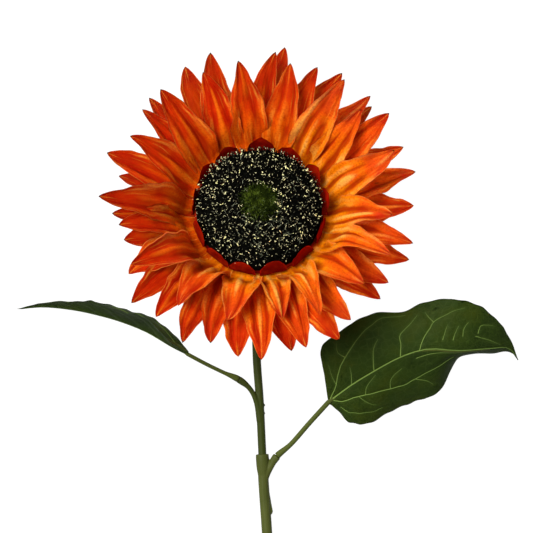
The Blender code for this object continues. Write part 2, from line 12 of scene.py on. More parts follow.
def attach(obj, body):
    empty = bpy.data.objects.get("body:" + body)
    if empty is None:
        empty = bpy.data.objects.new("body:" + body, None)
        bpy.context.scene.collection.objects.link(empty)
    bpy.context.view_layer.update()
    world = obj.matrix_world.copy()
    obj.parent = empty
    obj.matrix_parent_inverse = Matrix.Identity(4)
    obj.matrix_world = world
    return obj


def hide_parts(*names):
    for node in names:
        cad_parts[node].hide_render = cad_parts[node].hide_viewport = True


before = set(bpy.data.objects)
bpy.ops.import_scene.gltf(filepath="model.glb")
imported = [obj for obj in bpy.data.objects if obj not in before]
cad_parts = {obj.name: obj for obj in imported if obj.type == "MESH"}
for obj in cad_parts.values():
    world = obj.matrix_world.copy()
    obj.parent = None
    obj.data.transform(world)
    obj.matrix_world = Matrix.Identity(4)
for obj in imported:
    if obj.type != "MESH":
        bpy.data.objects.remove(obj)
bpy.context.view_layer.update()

MM = 0.001
MERGE = 0.01 * MM
GAP = 0.3 * MM
UP = Vector((0, 0, 1))
GOLDEN_ANGLE = math.pi * (3 - math.sqrt(5))

# Head. Its own frame has Z along the head's axis, towards the viewer, and zero at the back of the disc.
HEAD_CENTRE = Vector((-4.5, 68.9, 42.0)) * MM
HEAD_TILT = math.radians(19)
HEAD = Matrix.Translation(HEAD_CENTRE) @ Matrix.Rotation(-HEAD_TILT, 4, "X")
DISC_RADIUS = 34.6 * MM
DISC_RIM = 2.0 * MM
DISC_CROWN = 15.0 * MM
DISC_ROUNDNESS = 2.2
TUFT_RADIUS = 10.0 * MM
PIN_RADIUS = 4.0 * MM
PIN_TIP = 3.5 * MM
RING_RADIUS = 34.0 * MM
RING_THICKNESS = 2.0 * MM
RING_PITCH = RING_THICKNESS + GAP
RINGS = 4
RING_SIDES = 72
RING_HOLE = PIN_RADIUS + 2 * GAP

# Petals. Lifts, curls and folds are in degrees.
FABRIC = 0.45 * MM
PETAL_ROOT = 29.5 * MM
PETAL_FLAT = 6.5 * MM
PETAL_BEND = 8.0 * MM
PETAL_ROWS = 48
PETAL_COLUMNS = 36
PETAL_ROLL = 0.4
PETAL_HOOK = 6.0 * MM
PETAL_POINTS = 0.8, 1.15
PETAL_SHOULDER = 0.3
PETAL_TIP = 0.19
PETAL_WAIST = 0.58
SWAY_POWER = 1.7
ROOT_CROWDING = 1.25
WIDTH_SPREAD = 0.92, 1.06
CUP_SPREAD = 0.5, 1.3
KEEL_SPREAD = 0.4, 1.4
CUP_START = 0.12
CUP_SPAN = 0.3
FOLD_START = 0.46
FOLD_SPAN = 0.26
FOLD_SHARE = 0.6
LIFT_STEP = 4.0
LIFT_SPREAD = 1.5
CURL_SPREAD = 5
AIM_AT_ROOT = 0.35
SPINE_STEPS = 40
AIM_TRIES = 20
# A ring's tone sets how red its petals are; the middle and back rings are redder with painted shade, as they
# lie under the front one.
Layer = collections.namedtuple(
    "Layer", "name node level lift curl sag fold half_width cup keel seed tone tips")
# A tip is where it shows from in front: degrees clockwise from the top, and millimetres from the axis.
LAYERS = (
    Layer("front_petals", "petals_front", 3, 50, 26, 26, 56, 11.2 * MM, 0.20, 0.16, 5, 0.04, (
        (12, 83.6), (33, 86.2), (45, 78.9), (66, 81.0), (92, 73.1), (109, 75.1), (125, 69.5), (150, 65.6),
        (168, 60.1), (196, 62.0), (220, 67.8), (247, 75.1), (264, 76.7), (275, 87.2), (300, 81.8),
        (321, 85.8), (338, 82.8), (352, 83.6))),
    Layer("middle_petals", "petals_middle", 2, 30, 22, -4, 12, 10.5 * MM, 0.14, 0.10, 8, 0.24, (
        (6, 88.8), (22, 86.2), (44, 88.8), (53, 89.7), (76, 89.0), (102, 86.1), (119, 81.1), (140, 77.9),
        (161, 79.0), (179, 81.1), (200, 76.7), (224, 80.7), (244, 79.3), (269, 80.7), (291, 90.1),
        (311, 85.7), (343, 91.9))),
    Layer("back_petals", "petals_back", 1, 14, 16, 0, 0, 10.5 * MM, 0.10, 0.10, 3, 0.40, (
        (9, 92.3), (31, 89.2), (47, 85.7), (66, 87.7), (88, 85.5), (108, 86.6), (126, 82.3), (148, 82.9),
        (167, 78.5), (188, 80.1), (210, 82.9), (234, 85.7), (258, 76.0), (284, 80.0), (316, 87.9),
        (333, 90.8))),
)
TONE_SPREAD = 0.08
# Painted shade: petals on the left, which face away from the light, are made redder and darker by up to this
# much, most towards the upper left. The three numbers after it set how that falls off round the head.
LEFT_PAINTED_SHADE = 0.5
LEFT_LEAST = 0.35
LEFT_SLOPE = 0.8
LEFT_TURN = 0.55
MARGIN_WAVE = 1.5 * MM
MARGIN_WAVES = 1.2, 2.6
MARGIN_NOTCH = 0.16
CREASES = 5
CREASE_DEPTH = 0.5 * MM
CREASE_WIDTHS = 0.07, 0.17
CREASE_DRIFT = 0.4
CRUMPLE = 1.9 * MM
CRUMPLES = Vector((4.5, 1.9, 1))
# The seed of a piece's fine detail lies this far above the seed of its form.
FINE_SEED = 100

# Short dark velvet lobes that hold the disc's rim.
LOBES = 13
LOBE_ROOT = 33.0 * MM
LOBE_FLAT = 2.7 * MM
LOBE_BEND = 2.6 * MM
LOBE_LENGTH = 17.5 * MM
LOBE_HALF_WIDTH = 8.2 * MM
LOBE_LIFT = 86
LOBE_LOW_LIFT = 17
LOBE_LIFT_SPREAD = 6
LOBE_CURL = 12
LOBE_CUPS = 0.04, 0.12
LOBE_KEEL = 0.04
LOBE_ROLL = 0.1
LOBE_CRUMPLE = 0.2
LOBE_RING_RADIUS = 35.6 * MM
LOBE_ROWS = 20
LOBE_COLUMNS = 16
LOBE_SEED = 11

# Seed head: a dark core that a pile of stiff fibres stands out of, some with a pale tip.
CORE_DROP = 0.9 * MM
CORE_STEPS = 96
CORE_RINGS = 26
SEATED = 0.8 * MM
FIBRES = 4200
FIBRE_SEED = 7
FIBRE_CROWDING = 0.86
FIBRE_LENGTH = 2.3 * MM
FIBRE_RADIUS = 0.2 * MM
FIBRE_TAPER = 0.7
FIBRE_LEAN = 0.35
BARE_RIM = 1.4 * MM
BATCH = 100
Tips = collections.namedtuple("Tips", "name count radius length finish dark light roughness")
TIPS = (
    Tips("pale_tips", 860, 0.17 * MM, 1.1 * MM, "tip_cream", (0.06, 0.055, 0.03), (1.0, 0.93, 0.52), 0.5),
    Tips("large_tips", 180, 0.28 * MM, 1.7 * MM, "tip_yellow", (0.80, 0.74, 0.30), (1.0, 0.95, 0.50), 0.5),
    Tips("dim_tips", 620, 0.22 * MM, 0.9 * MM, "tip_grey", (0.005, 0.005, 0.003), (0.09, 0.09, 0.06), 0.6),
)
TIPS_SEED = 5
TUFT_SINK = 3.0 * MM
TUFT_RISE = 3.2 * MM
TUFT_STEPS = 48
TUFT_BENDS = 8
TUFT_SEED = 21
HAIRS = 1900
HAIR_LENGTH = 3.8 * MM
HAIR_RADIUS = 0.16 * MM
HAIR_TAPER = 0.4
HAIR_SPLAY = 1.6
HAIR_LEAN = 0.4
CURLS = 110
CURLS_SPREAD = 0.9
TUFT_CURLS = 46
TUFT_CURLS_SPREAD = 2.0
CURL_SIZES = 1.2 * MM, 3.2 * MM
CURL_LIFT = 0.9 * MM
CURL_ARCH = 0.8 * MM
CURL_RADII = (0.08 * MM, 0.10 * MM, 0.09 * MM, 0.06 * MM)

# Calyx.
CUP_RADIUS = 30.0 * MM
CUP_DEPTH = 17.5 * MM
CUP_BOWL = 0.62
CUP_FULLNESS = 0.8
CUP_STEPS = 96
CUP_BENDS = 16
SOCKET_RADIUS = 3.4 * MM
SOCKET_DEPTH = 6.0 * MM
NECK_WALL = 1.8 * MM
BRACTS = 14
BRACT_ROOT = 22.5 * MM
BRACT_FLAT = 5.0 * MM
BRACT_LENGTH = 41.0 * MM
BRACT_HALF_WIDTH = 7.5 * MM
BRACT_DROP = 4.0 * MM
BRACT_REST = 0.5 * MM
BRACT_ROWS = 26
BRACT_COLUMNS = 14
BRACT_CUP = 0.12
BRACT_KEEL = 0.10
BRACT_SWAY = 3.0 * MM
BRACT_ROLL = 0.1
BRACT_DROOP = 9
BRACT_CURL = 24
BRACT_THICKNESS = 0.8 * MM
BRACT_RIB = 0.25 * MM
BRACT_SEED = 2

# Stem. Its points are x, y from the head's centre and height over the table, in millimetres.
NECK_BEND = 15.5 * MM
NECK_RADIUS = 2.8 * MM
NECK_STEPS = 10
STEM_STEPS = 30
SLIM_STEPS = 12
STEM_ROUTE = ((-1.6, -45, 4.9), (-1.4, -80, 4.9), (0.3, -105, 4.8), (1.6, -132, 4.7), (2.2, -146.8, 4.62))
STEM_RADIUS = 2.3 * MM
FOOT_ROUTE = ((1.7, -135.5, 4.7), (2.5, -152, 4.6), (4.1, -175, 4.0), (5.6, -200, 3.5), (7.2, -230, 3.05))
FOOT_RADIUS = 2.95 * MM
FOOT_STEPS = 40
SLEEVE_LENGTH = 18.0 * MM
SLEEVE_RADII = (3.6 * MM, 3.7 * MM, 3.7 * MM, 3.6 * MM, 3.4 * MM, 2.9 * MM)
SEAT_CLEARANCE = 0.5 * MM
SEAT_STEPS = 0, 0.2, 0.4, 0.6
NUBS = (((-2.0, -103.0, 4.9), 0.8 * MM), ((2.8, -108.0, 4.9), 0.7 * MM), ((3.0, -112.5, 4.8), 0.5 * MM))
FLASH_ROUTE = ((5.0, -150, 4.4), (5.4, -157, 4.3), (6.2, -163, 4.2), (6.9, -167.5, 4.0), (7.0, -169, 4.0))
FLASH_RADII = (0.4 * MM, 0.5 * MM, 0.7 * MM, 0.9 * MM, 0.5 * MM)
FLASH_SIDES = 8
ROD_SIDES = 24
MOULD_VOXEL = 0.35 * MM
MOULD_SOFTNESS = 0.5
MOULD_PASSES = 6
Arm = collections.namedtuple("Arm", "joint radius waist stalk points")
LEFT_ARM = Arm(3, 2.0 * MM, 1.45 * MM, 1.1 * MM, (
    (0.5, -117, 5.2), (-1.3, -107, 6.0), (-5.0, -99, 7.2), (-11.5, -93.5, 9.2), (-20.0, -89.5, 12.5),
    (-30.0, -84.5, 17.0), (-39.6, -79.2, 22.0)))
RIGHT_ARM = Arm(2, 2.3 * MM, 2.0 * MM, 1.4 * MM, (
    (2.6, -150, 4.8), (5.4, -144, 5.2), (10.0, -136.5, 5.8), (18.0, -129.5, 6.8), (28.0, -118.0, 8.4),
    (38.5, -106.4, 10.0)))
ARM_STEPS = 16
STALK_FOOT_RADIUS = 1.9 * MM
PLUG_RADIUS = 1.0 * MM
PLUG_LENGTH = 3.0 * MM
STALK_SIDES = 20
STALK_MARK = 3.0
RIB_REACH = 0.78
RIB_TAPER = 0.44

# Leaf blades: stations from base to tip, each with a point on the rib, one edge and the other edge.
BLADE_THICKNESS = 0.5 * MM
BLADE_ROWS = 150
BLADE_COLUMNS = 76
BLADE_END = 0.985
RIGHT_BLADE = (
    ((38.5, -106.4, 10), (38.0, -104.6, 10), (39.8, -107.4, 10)),
    ((43.5, -102.6, 12), (36.3, -91.6, 14), (44.6, -112.2, 7)),
    ((51.2, -96.8, 16), (34.1, -76.5, 19), (50.6, -117.7, 5)),
    ((62.2, -89.9, 20), (45.1, -66.6, 23), (65.5, -115.8, 4)),
    ((78.7, -80.9, 23), (66.6, -56.1, 22), (84.2, -107.8, 5)),
    ((94.0, -76.5, 24), (93.0, -49.5, 21), (100.7, -99.6, 4)),
    ((110.6, -77.6, 22), (116.0, -49.8, 22), (111.7, -83.1, 3)),
    ((128.7, -76.5, 16), (133.7, -60.8, 17), (127.5, -79.5, 4)),
    ((139.2, -76.5, 9), (140.5, -71.5, 9), (138.5, -78.0, 4)),
    ((145.5, -83.6, 2), (145.5, -83.6, 2), (145.5, -83.6, 2)),
)
RIGHT_DIPS = ((True, 0.39, 0.06, -0.045), (True, 0.495, 0.035, 0.12), (True, 0.86, 0.05, 0.05),
              (False, 0.30, 0.05, -0.04))
LEFT_BLADE = (
    ((-39.6, -79.2, 22), (-39.0, -78.2, 23.5), (-39.0, -77.6, 20.5)),
    ((-48.7, -74.5, 25), (-48.9, -72.0, 36), (-46.9, -68.2, 15)),
    ((-61.9, -66.6, 28), (-61.0, -59.1, 50), (-58.9, -59.5, 7)),
    ((-76.2, -60.8, 29), (-74.3, -55.0, 53), (-72.0, -54.8, 4)),
    ((-90.2, -56.9, 27), (-88.6, -49.8, 47), (-87.0, -51.0, 5)),
    ((-104.0, -54.2, 22), (-101.8, -49.5, 35), (-101.5, -49.5, 8)),
    ((-120.5, -52.8, 15), (-119.4, -50.3, 21), (-119.0, -50.3, 9)),
    ((-136.4, -54.2, 7), (-136.4, -54.2, 7), (-136.4, -54.2, 7)),
)
BLADE_WAVES = 3.5
BLADE_ARCH = 0.24
SCALLOPS = 26
EDGE_WAVE = 0.2 * MM
QUILTS = 130
QUILT_HEIGHT = 0.25 * MM
VEIN_SINK = 0.35 * MM
VEIN_REACH = 1.3 * MM
VEIN_STEPS = 24
VEIN_SAMPLES = 4
VEIN_SIDES = 8
VEIN_MARK = 2.0
VEIN_FADE = 0.7
VEIN_WIDTH = 0.62
# Each vein: its radius at the start and the end in millimetres, and its points as u along the blade and v
# across it, with v above 0 on the first edge's side.
RIGHT_VEINS = (
    (0.75, 0.32, ((0.0, 0), (0.25, 0), (0.5, 0), (0.75, 0), (0.96, 0))),
    (0.50, 0.28, ((0.03, 0.1), (0.08, 0.22), (0.158, 0.283), (0.292, 0.533), (0.338, 0.633),
                  (0.381, 0.733), (0.415, 0.8), (0.446, 0.867), (0.5, 0.9))),
    (0.45, 0.25, ((0.05, -0.1), (0.135, -0.35), (0.254, -0.333), (0.327, -0.383), (0.392, -0.483),
                  (0.438, -0.533), (0.481, -0.5), (0.527, -0.45), (0.6, -0.417), (0.65, -0.33))),
    (0.36, 0.22, ((0.225, 0), (0.262, 0.183), (0.28, 0.32))),
    (0.38, 0.22, ((0.346, 0), (0.365, 0.183), (0.385, 0.367), (0.41, 0.5))),
    (0.42, 0.22, ((0.442, 0), (0.462, 0.233), (0.469, 0.433), (0.488, 0.567), (0.508, 0.667),
                  (0.53, 0.78))),
    (0.42, 0.22, ((0.519, 0), (0.531, 0.15), (0.546, 0.3), (0.562, 0.433), (0.573, 0.55), (0.604, 0.667),
                  (0.631, 0.783), (0.66, 0.86))),
    (0.26, 0.18, ((0.573, 0.55), (0.56, 0.66), (0.55, 0.78))),
    (0.28, 0.2, ((0.605, 0.19), (0.61, 0.34), (0.615, 0.5))),
    (0.3, 0.2, ((0.64, 0.21), (0.643, 0.35), (0.65, 0.5))),
    (0.28, 0.2, ((0.67, 0.3), (0.668, 0.45), (0.678, 0.6))),
    (0.28, 0.2, ((0.715, 0.4), (0.72, 0.6), (0.76, 0.75))),
    (0.25, 0.18, ((0.71, 0.33), (0.76, 0.3), (0.82, 0.2))),
    (0.25, 0.18, ((0.392, -0.483), (0.4, -0.3), (0.44, -0.2))),
    (0.25, 0.18, ((0.3, -0.36), (0.31, -0.2), (0.35, -0.08))),
    (0.26, 0.18, ((0.27, -0.34), (0.3, -0.5), (0.34, -0.66))),
    (0.26, 0.18, ((0.48, -0.5), (0.52, -0.62), (0.54, -0.75))),
    (0.25, 0.18, ((0.14, -0.6), (0.22, -0.7), (0.3, -0.74), (0.36, -0.8))),
    (0.26, 0.18, ((0.5, -0.12), (0.6, -0.1), (0.68, -0.14))),
    (0.22, 0.16, ((0.158, 0.283), (0.17, 0.5), (0.2, 0.68))),
    (0.22, 0.16, ((0.292, 0.533), (0.28, 0.7), (0.3, 0.85))),
)
LEFT_BRANCH = (0, 0), (0.06, 0.33), (0.13, 0.62), (0.21, 0.85)
LEFT_VEINS = (
    (0.6, 0.3, ((0.0, 0), (0.25, 0), (0.5, 0), (0.75, 0), (0.96, 0))),
) + tuple(
    (0.36, 0.2, tuple((start + ahead, side * aside) for ahead, aside in LEFT_BRANCH))
    for start in (0.06, 0.19, 0.31, 0.43, 0.55, 0.66) for side in (1, -1))
Shape = collections.namedtuple("Shape", "seed phase wave_height scallop dips")
LEFT_SHAPE = Shape(22, 1.2, 0.3 * MM, 0.008, ())
RIGHT_SHAPE = Shape(31, 1.9, 1.6 * MM, 0.035, RIGHT_DIPS)

# Camera, from the head's centre, and light.
CAMERA_PLACE = Vector((4.1 * MM, -30.5 * MM, 2.2))
PIXEL = 0.55 * MM
PICTURE = 533
SENSOR = 36
SUN_STRENGTH = 5.4
SUN_SPREAD = math.radians(36)
SUN_PLACE = Vector((-0.44, 0.28, 0.85))
STUDIO_STRENGTH = 0.26
FLOOR_SIZE = 3.0


def loose_piece(bm, name):
    """A new piece in the scene with this mesh."""
    mesh = bpy.data.meshes.new(name)
    bm.to_mesh(mesh)
    bm.free()
    piece = bpy.data.objects.new(name, mesh)
    bpy.context.scene.collection.objects.link(piece)
    return piece


def collected(bm, name, finish, slot, *nodes):
    """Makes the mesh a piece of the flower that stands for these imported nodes."""
    piece = loose_piece(bm, name)
    piece.data.shade_smooth()
    piece.data.materials.append(finish)
    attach(piece, "root")
    if nodes:
        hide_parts(*nodes)


def collected_on_head(bm, *details):
    """The same for a mesh that is in the head's frame."""
    bm.transform(HEAD)
    collected(bm, *details)


def held(t):
    """The number, kept from 0 to 1."""
    return min(max(t, 0.0), 1.0)


def ease(t):
    """0 below 0, 1 above 1, and smooth between."""
    t = held(t)
    return t * t * (3 - 2 * t)


def faded(u, root, tip):
    """1 in the middle, falling to 0 over these shares of the length at the root and at the tip."""
    return ease(u / root) * ease((1 - u) / tip)


def blend(first, last, share):
    """The number at this share of the way from the first to the last."""
    return first + (last - first) * share


def along(points, t):
    """A point on the smooth curve through the points, with t from 0 at the first to 1 at the last."""
    place = held(t) * (len(points) - 1)
    i = min(int(place), len(points) - 2)
    t = place - i
    a, b, c, d = (points[min(max(k, 0), len(points) - 1)] for k in (i - 1, i, i + 1, i + 2))
    return b + t * 0.5 * (c - a + t * (2 * a - 5 * b + 4 * c - d + t * (3 * (b - c) + d - a)))


def on_table(route):
    """Points given from the head's centre and the table, in millimetres, in the flower's frame."""
    foot = Vector((HEAD_CENTRE.x, HEAD_CENTRE.y, 0))
    return [foot + Vector(point) * MM for point in route]


def faces_at(verts):
    """The faces that touch these points."""
    return list({face for vert in verts for face in vert.link_faces})


def blade(bm, rows, columns, place, thickness, mark=None, tone=0.0):
    """Adds a thin bent blade, with its own UV map.

    place(u, v) gives its points, with u from 0 at the root to 1 and v from -1 at one edge to 1. mark(u, v)
    is how deep in a fold, or how near a vein, each point lies.
    """
    uv_map = bm.loops.layers.uv.verify()
    fold = bm.verts.layers.float.get("fold") or bm.verts.layers.float.new("fold")
    # Each blade's redness, which on the petals also carries painted shade.
    dye_and_shade = bm.verts.layers.float.get("dye_and_shade") or bm.verts.layers.float.new("dye_and_shade")
    verts = bmesh.ops.create_grid(bm, x_segments=columns, y_segments=rows, size=1)["verts"]
    for vert in verts:
        u, v = (vert.co.y + 1) / 2, vert.co.x
        for loop in vert.link_loops:
            loop[uv_map].uv = (u, (v + 1) / 2)
        vert[fold] = mark(u, v) if mark else 0.0
        vert[dye_and_shade] = tone
        vert.co = place(u, v)
    faces = faces_at(verts)
    bmesh.ops.remove_doubles(bm, verts=verts, dist=MERGE)
    faces = [face for face in faces if face.is_valid]
    for face in faces:
        face.normal_update()
    verts = list({vert for face in faces for vert in face.verts})
    edges = list({edge for face in faces for edge in face.edges})
    for vert in verts:
        vert.normal_update()
    made = bmesh.ops.extrude_face_region(bm, geom=verts + edges + faces, use_keep_orig=True)["geom"]
    front = [item for item in made if isinstance(item, bmesh.types.BMVert)]
    for side, sheet in ((1, front), (-1, verts)):
        for vert in sheet:
            vert.co += vert.normal * side * thickness / 2
    bmesh.ops.recalc_face_normals(bm, faces=faces_at(verts + front))


def turned(bm, profile, steps, closed=False):
    """Adds a shape turned about Z from (radius, height) points, which run from the top down the outside."""
    verts = [bm.verts.new((radius, 0, height)) for radius, height in profile]
    edges = [bm.edges.new(pair) for pair in zip(verts, verts[1:] + verts[:closed])]
    bmesh.ops.spin(
        bm, geom=verts + edges, cent=(0, 0, 0), axis=UP, angle=math.tau, steps=steps, use_merge=True)
    made = list(joined_points(verts[0]))
    bmesh.ops.remove_doubles(bm, verts=made, dist=MERGE)
    made = joined_points(next(vert for vert in made if vert.is_valid))
    bmesh.ops.recalc_face_normals(bm, faces=faces_at(made))


def joined_points(vert):
    """All points of the shape that this point belongs to."""
    found, front = {vert}, {vert}
    while front:
        front = {other for one in front for edge in one.link_edges for other in edge.verts} - found
        found |= front
    return found


def rod(bm, points, radii, sides=ROD_SIDES):
    """Adds a round rod along the points, with a radius at each, closed at both ends."""
    heading = (points[1] - points[0]).normalized()
    place = standing(points[0], heading) @ Matrix.Scale(radii[0], 4)
    verts = bmesh.ops.create_circle(bm, segments=sides, radius=1, matrix=place)["verts"]
    first = edges = list({edge for vert in verts for edge in vert.link_edges})
    shape = list(verts)
    for k in range(1, len(points)):
        after = (points[min(k + 1, len(points) - 1)] - points[k - 1]).normalized()
        bend = heading.rotation_difference(after).to_matrix().to_4x4()
        step = Matrix.Translation(points[k]) @ bend @ Matrix.Scale(radii[k] / radii[k - 1], 4)
        step = step @ Matrix.Translation(-points[k - 1])
        made = bmesh.ops.extrude_edge_only(bm, edges=edges)["geom"]
        verts = [item for item in made if isinstance(item, bmesh.types.BMVert)]
        front = set(verts)
        new_edges = [item for item in made if isinstance(item, bmesh.types.BMEdge)]
        edges = [edge for edge in new_edges if front.issuperset(edge.verts)]
        bmesh.ops.transform(bm, matrix=step, verts=verts)
        shape += verts
        heading = after
    bmesh.ops.holes_fill(bm, edges=first + edges, sides=0)
    bmesh.ops.recalc_face_normals(bm, faces=faces_at(shape))
    return shape


def moulded(bm, bore=None):
    """The shapes run together as one moulding, with soft corners where they meet and the bore cut out."""
    blank = loose_piece(bm, "moulding")
    remesh = blank.modifiers.new("fuse", "REMESH")
    remesh.mode = "VOXEL"
    remesh.voxel_size = MOULD_VOXEL
    soften = blank.modifiers.new("soften", "SMOOTH")
    soften.factor = MOULD_SOFTNESS
    soften.iterations = MOULD_PASSES
    drill = bore and loose_piece(bore, "bore")
    if drill:
        cut = blank.modifiers.new("cut", "BOOLEAN")
        cut.operation = "DIFFERENCE"
        cut.object = drill
    bpy.context.view_layer.update()
    graph = bpy.context.evaluated_depsgraph_get()
    made = bpy.data.meshes.new_from_object(blank.evaluated_get(graph), depsgraph=graph)
    bpy.data.objects.remove(blank)
    if drill:
        bpy.data.objects.remove(drill)
    whole = bmesh.new()
    whole.from_mesh(made)
    return whole


def gathered(count, add):
    """One mesh of many small shapes, made in batches. add(bm, index) adds each."""
    whole = bmesh.new()
    for start in range(0, count, BATCH):
        batch = bmesh.new()
        for index in range(start, min(start + BATCH, count)):
            add(batch, index)
        mesh = bpy.data.meshes.new("batch")
        batch.to_mesh(mesh)
        batch.free()
        whole.from_mesh(mesh)
        bpy.data.meshes.remove(mesh)
    return whole


def petal_outline(point):
    """Half a petal's width at u, as a share of its widest. A point above 1 draws the tip out."""
    def outline(u):
        taper = math.cos(math.pi / 2 * held((u - PETAL_SHOULDER) / (1 - PETAL_SHOULDER)))
        body = blend(PETAL_TIP, 1, max(taper, 0) ** point)
        return blend(PETAL_WAIST, 1, ease(u / 0.42)) * body * max(1 - u ** 14, 0) ** 0.5
    return outline


def lobe_outline(u):
    """Half a lobe's width at u, as a share of its widest."""
    return (0.85 + 0.15 * ease(u / 0.4)) * max(1 - u ** 2.4, 0) ** 0.75


def bract_outline(u):
    """Half a bract's width at u, as a share of its widest."""
    return (0.75 + 0.25 * ease(u / 0.25)) * max(1 - u ** 1.7, 0) ** 1.1


def spine(length, lift, curl, fold=0.0, flat=PETAL_FLAT, bend=PETAL_BEND):
    """A petal's midline as (distance, height) from its root. It starts flat, lifts, folds over and curls."""
    points = [Vector((0, 0))]
    for step in range(SPINE_STEPS):
        u = (step + 0.5) / SPINE_STEPS
        angle = lift * ease((u * length - flat) / bend) - curl * u
        angle -= fold * ease((u - FOLD_START) / FOLD_SPAN)
        points.append(points[-1] + Vector((math.cos(angle), math.sin(angle))) * length / SPINE_STEPS)
    return points


def petal_surface(azimuth, root, level, line, outline, half_width, cup, keel, roll, relief,
                  sway=0.0, hook=0.0, ragged=None, cup_start=CUP_START):
    """The bent sheet of one petal along its midline, as a function of u and v, in the head's frame.

    azimuth is clockwise from the top, sway is how far the tip lies to the side of it, and hook how far the
    middle bulges sideways. Up to cup_start it isn't cupped. relief(u, v) is the height of its embossing, and
    ragged(u, v) its width there against the plain outline.
    """
    out = Vector((math.sin(azimuth), math.cos(azimuth), 0))
    side = Vector((math.cos(azimuth), -math.sin(azimuth), 0))

    def midline(u):
        distance, height = along(line, u)
        u = max(u, 0.0)
        aside = sway * u ** SWAY_POWER + hook * (u ** SWAY_POWER - u ** 4)
        return out * (root + distance) + UP * (level + height) + side * aside

    def place(u, v):
        u = held(u) ** ROOT_CROWDING
        step = (midline(u + 0.01) - midline(u - 0.01)).normalized()
        across = (side - step * side.dot(step)).normalized()
        face = across.cross(step)
        turn = roll * u
        width = half_width * outline(u) * (ragged(u, v) if ragged else 1)
        fold = width * (keel * math.cos(math.pi * v) ** 2 + cup * v * v) * ease((u - cup_start) / CUP_SPAN)
        fold += relief(u, v)
        across, face = (
            across * math.cos(turn) + face * math.sin(turn),
            face * math.cos(turn) - across * math.sin(turn),
        )
        return midline(u) + across * width * v + face * fold

    return place


def reach_petal(layer, degrees, reach, lift, curl, fold):
    """The azimuth on the head and the midline that bring a petal's tip where it shows from in front."""
    shown_x = reach * math.sin(math.radians(degrees))
    shown_y = reach * math.cos(math.radians(degrees))
    length = reach - PETAL_ROOT
    for _ in range(AIM_TRIES):
        line = spine(length, lift, curl, fold)
        height = ring_level(layer.level) + line[-1].y
        true_y = (shown_y - height * math.sin(HEAD_TILT)) / math.cos(HEAD_TILT)
        distance = math.hypot(shown_x, true_y)
        length *= (distance - PETAL_ROOT) / line[-1].x
    return math.atan2(shown_x, true_y), distance, line


def ring_level(place):
    """Height of the middle of a ring in the head's frame, with ring 1 at the back."""
    return -GAP - RING_THICKNESS / 2 - (RINGS - place) * RING_PITCH


def add_ring(bm, place, radius):
    """Adds the flat ring that a layer of petals grows from."""
    top = ring_level(place) + RING_THICKNESS / 2
    low = top - RING_THICKNESS
    profile = [(radius, top), (radius, low), (RING_HOLE, low), (RING_HOLE, top)]
    turned(bm, profile, RING_SIDES, closed=True)


def nearest_turn(angle):
    """The same direction as an angle from minus half a turn to half a turn."""
    return (angle + math.pi) % math.tau - math.pi


def embossing(draw):
    """The creases, crumples and margins of one petal.

    They give the height at u and v, how deep in a fold that is, and the width there against the outline.
    """
    creases = []
    for k in range(CREASES):
        middle = -0.85 + 1.7 * (k + draw.uniform(0.2, 0.8)) / CREASES
        depth = CREASE_DEPTH * draw.uniform(0.4, 1.5) * (-1) ** k
        drift, width = draw.uniform(-CREASE_DRIFT, CREASE_DRIFT), draw.uniform(*CREASE_WIDTHS)
        start, end = draw.uniform(-0.1, 0.4), draw.uniform(0.65, 1.05)
        creases.append((middle, depth, drift, width, start, end))
    phases = [draw.uniform(0, math.tau) for _ in range(2)]
    waves = [draw.uniform(*MARGIN_WAVES) for _ in range(2)]
    patch = draw.uniform(0, 1000)

    def creased(u, v):
        height = 0.0
        for middle, depth, drift, width, start, end in creases:
            if start < u < end:
                share = math.sin(math.pi * (u - start) / (end - start))
                height += depth * share * math.exp(-((v - middle - drift * (u - 0.5)) / width) ** 2)
        return height

    def crumpled(u, v):
        return noise.noise(Vector((u, v, patch)) * CRUMPLES) * ease(u / 0.25)

    def relief(u, v):
        edge = v > 0
        wave = math.sin(math.tau * waves[edge] * u + phases[edge]) * faded(u, 0.3, 0.3)
        height = (creased(u, v) + CRUMPLE * crumpled(u, v)) * ease((1 - u) / 0.35)
        return height + MARGIN_WAVE * wave * abs(v) ** 3

    # How deep in a fold a point lies; the petal fabric paints shade in the folds and highlights on the ridges
    # from it.
    def fold(u, v):
        depth = 0.25 * (1 - math.cos(math.pi * v) ** 2) * ease(u / 0.3)
        return held(0.4 + depth - creased(u, v) / (2 * CREASE_DEPTH) - 0.5 * crumpled(u, v))

    def ragged(u, v):
        notch = noise.noise(Vector((u * 5.5, 7 * (v > 0), patch)))
        notch += 0.5 * noise.noise(Vector((u * 14, v > 0, patch)))
        return 1 + MARGIN_NOTCH * notch * ease((u - 0.2) / 0.3) * ease((1 - u) / 0.15)

    return relief, fold, ragged


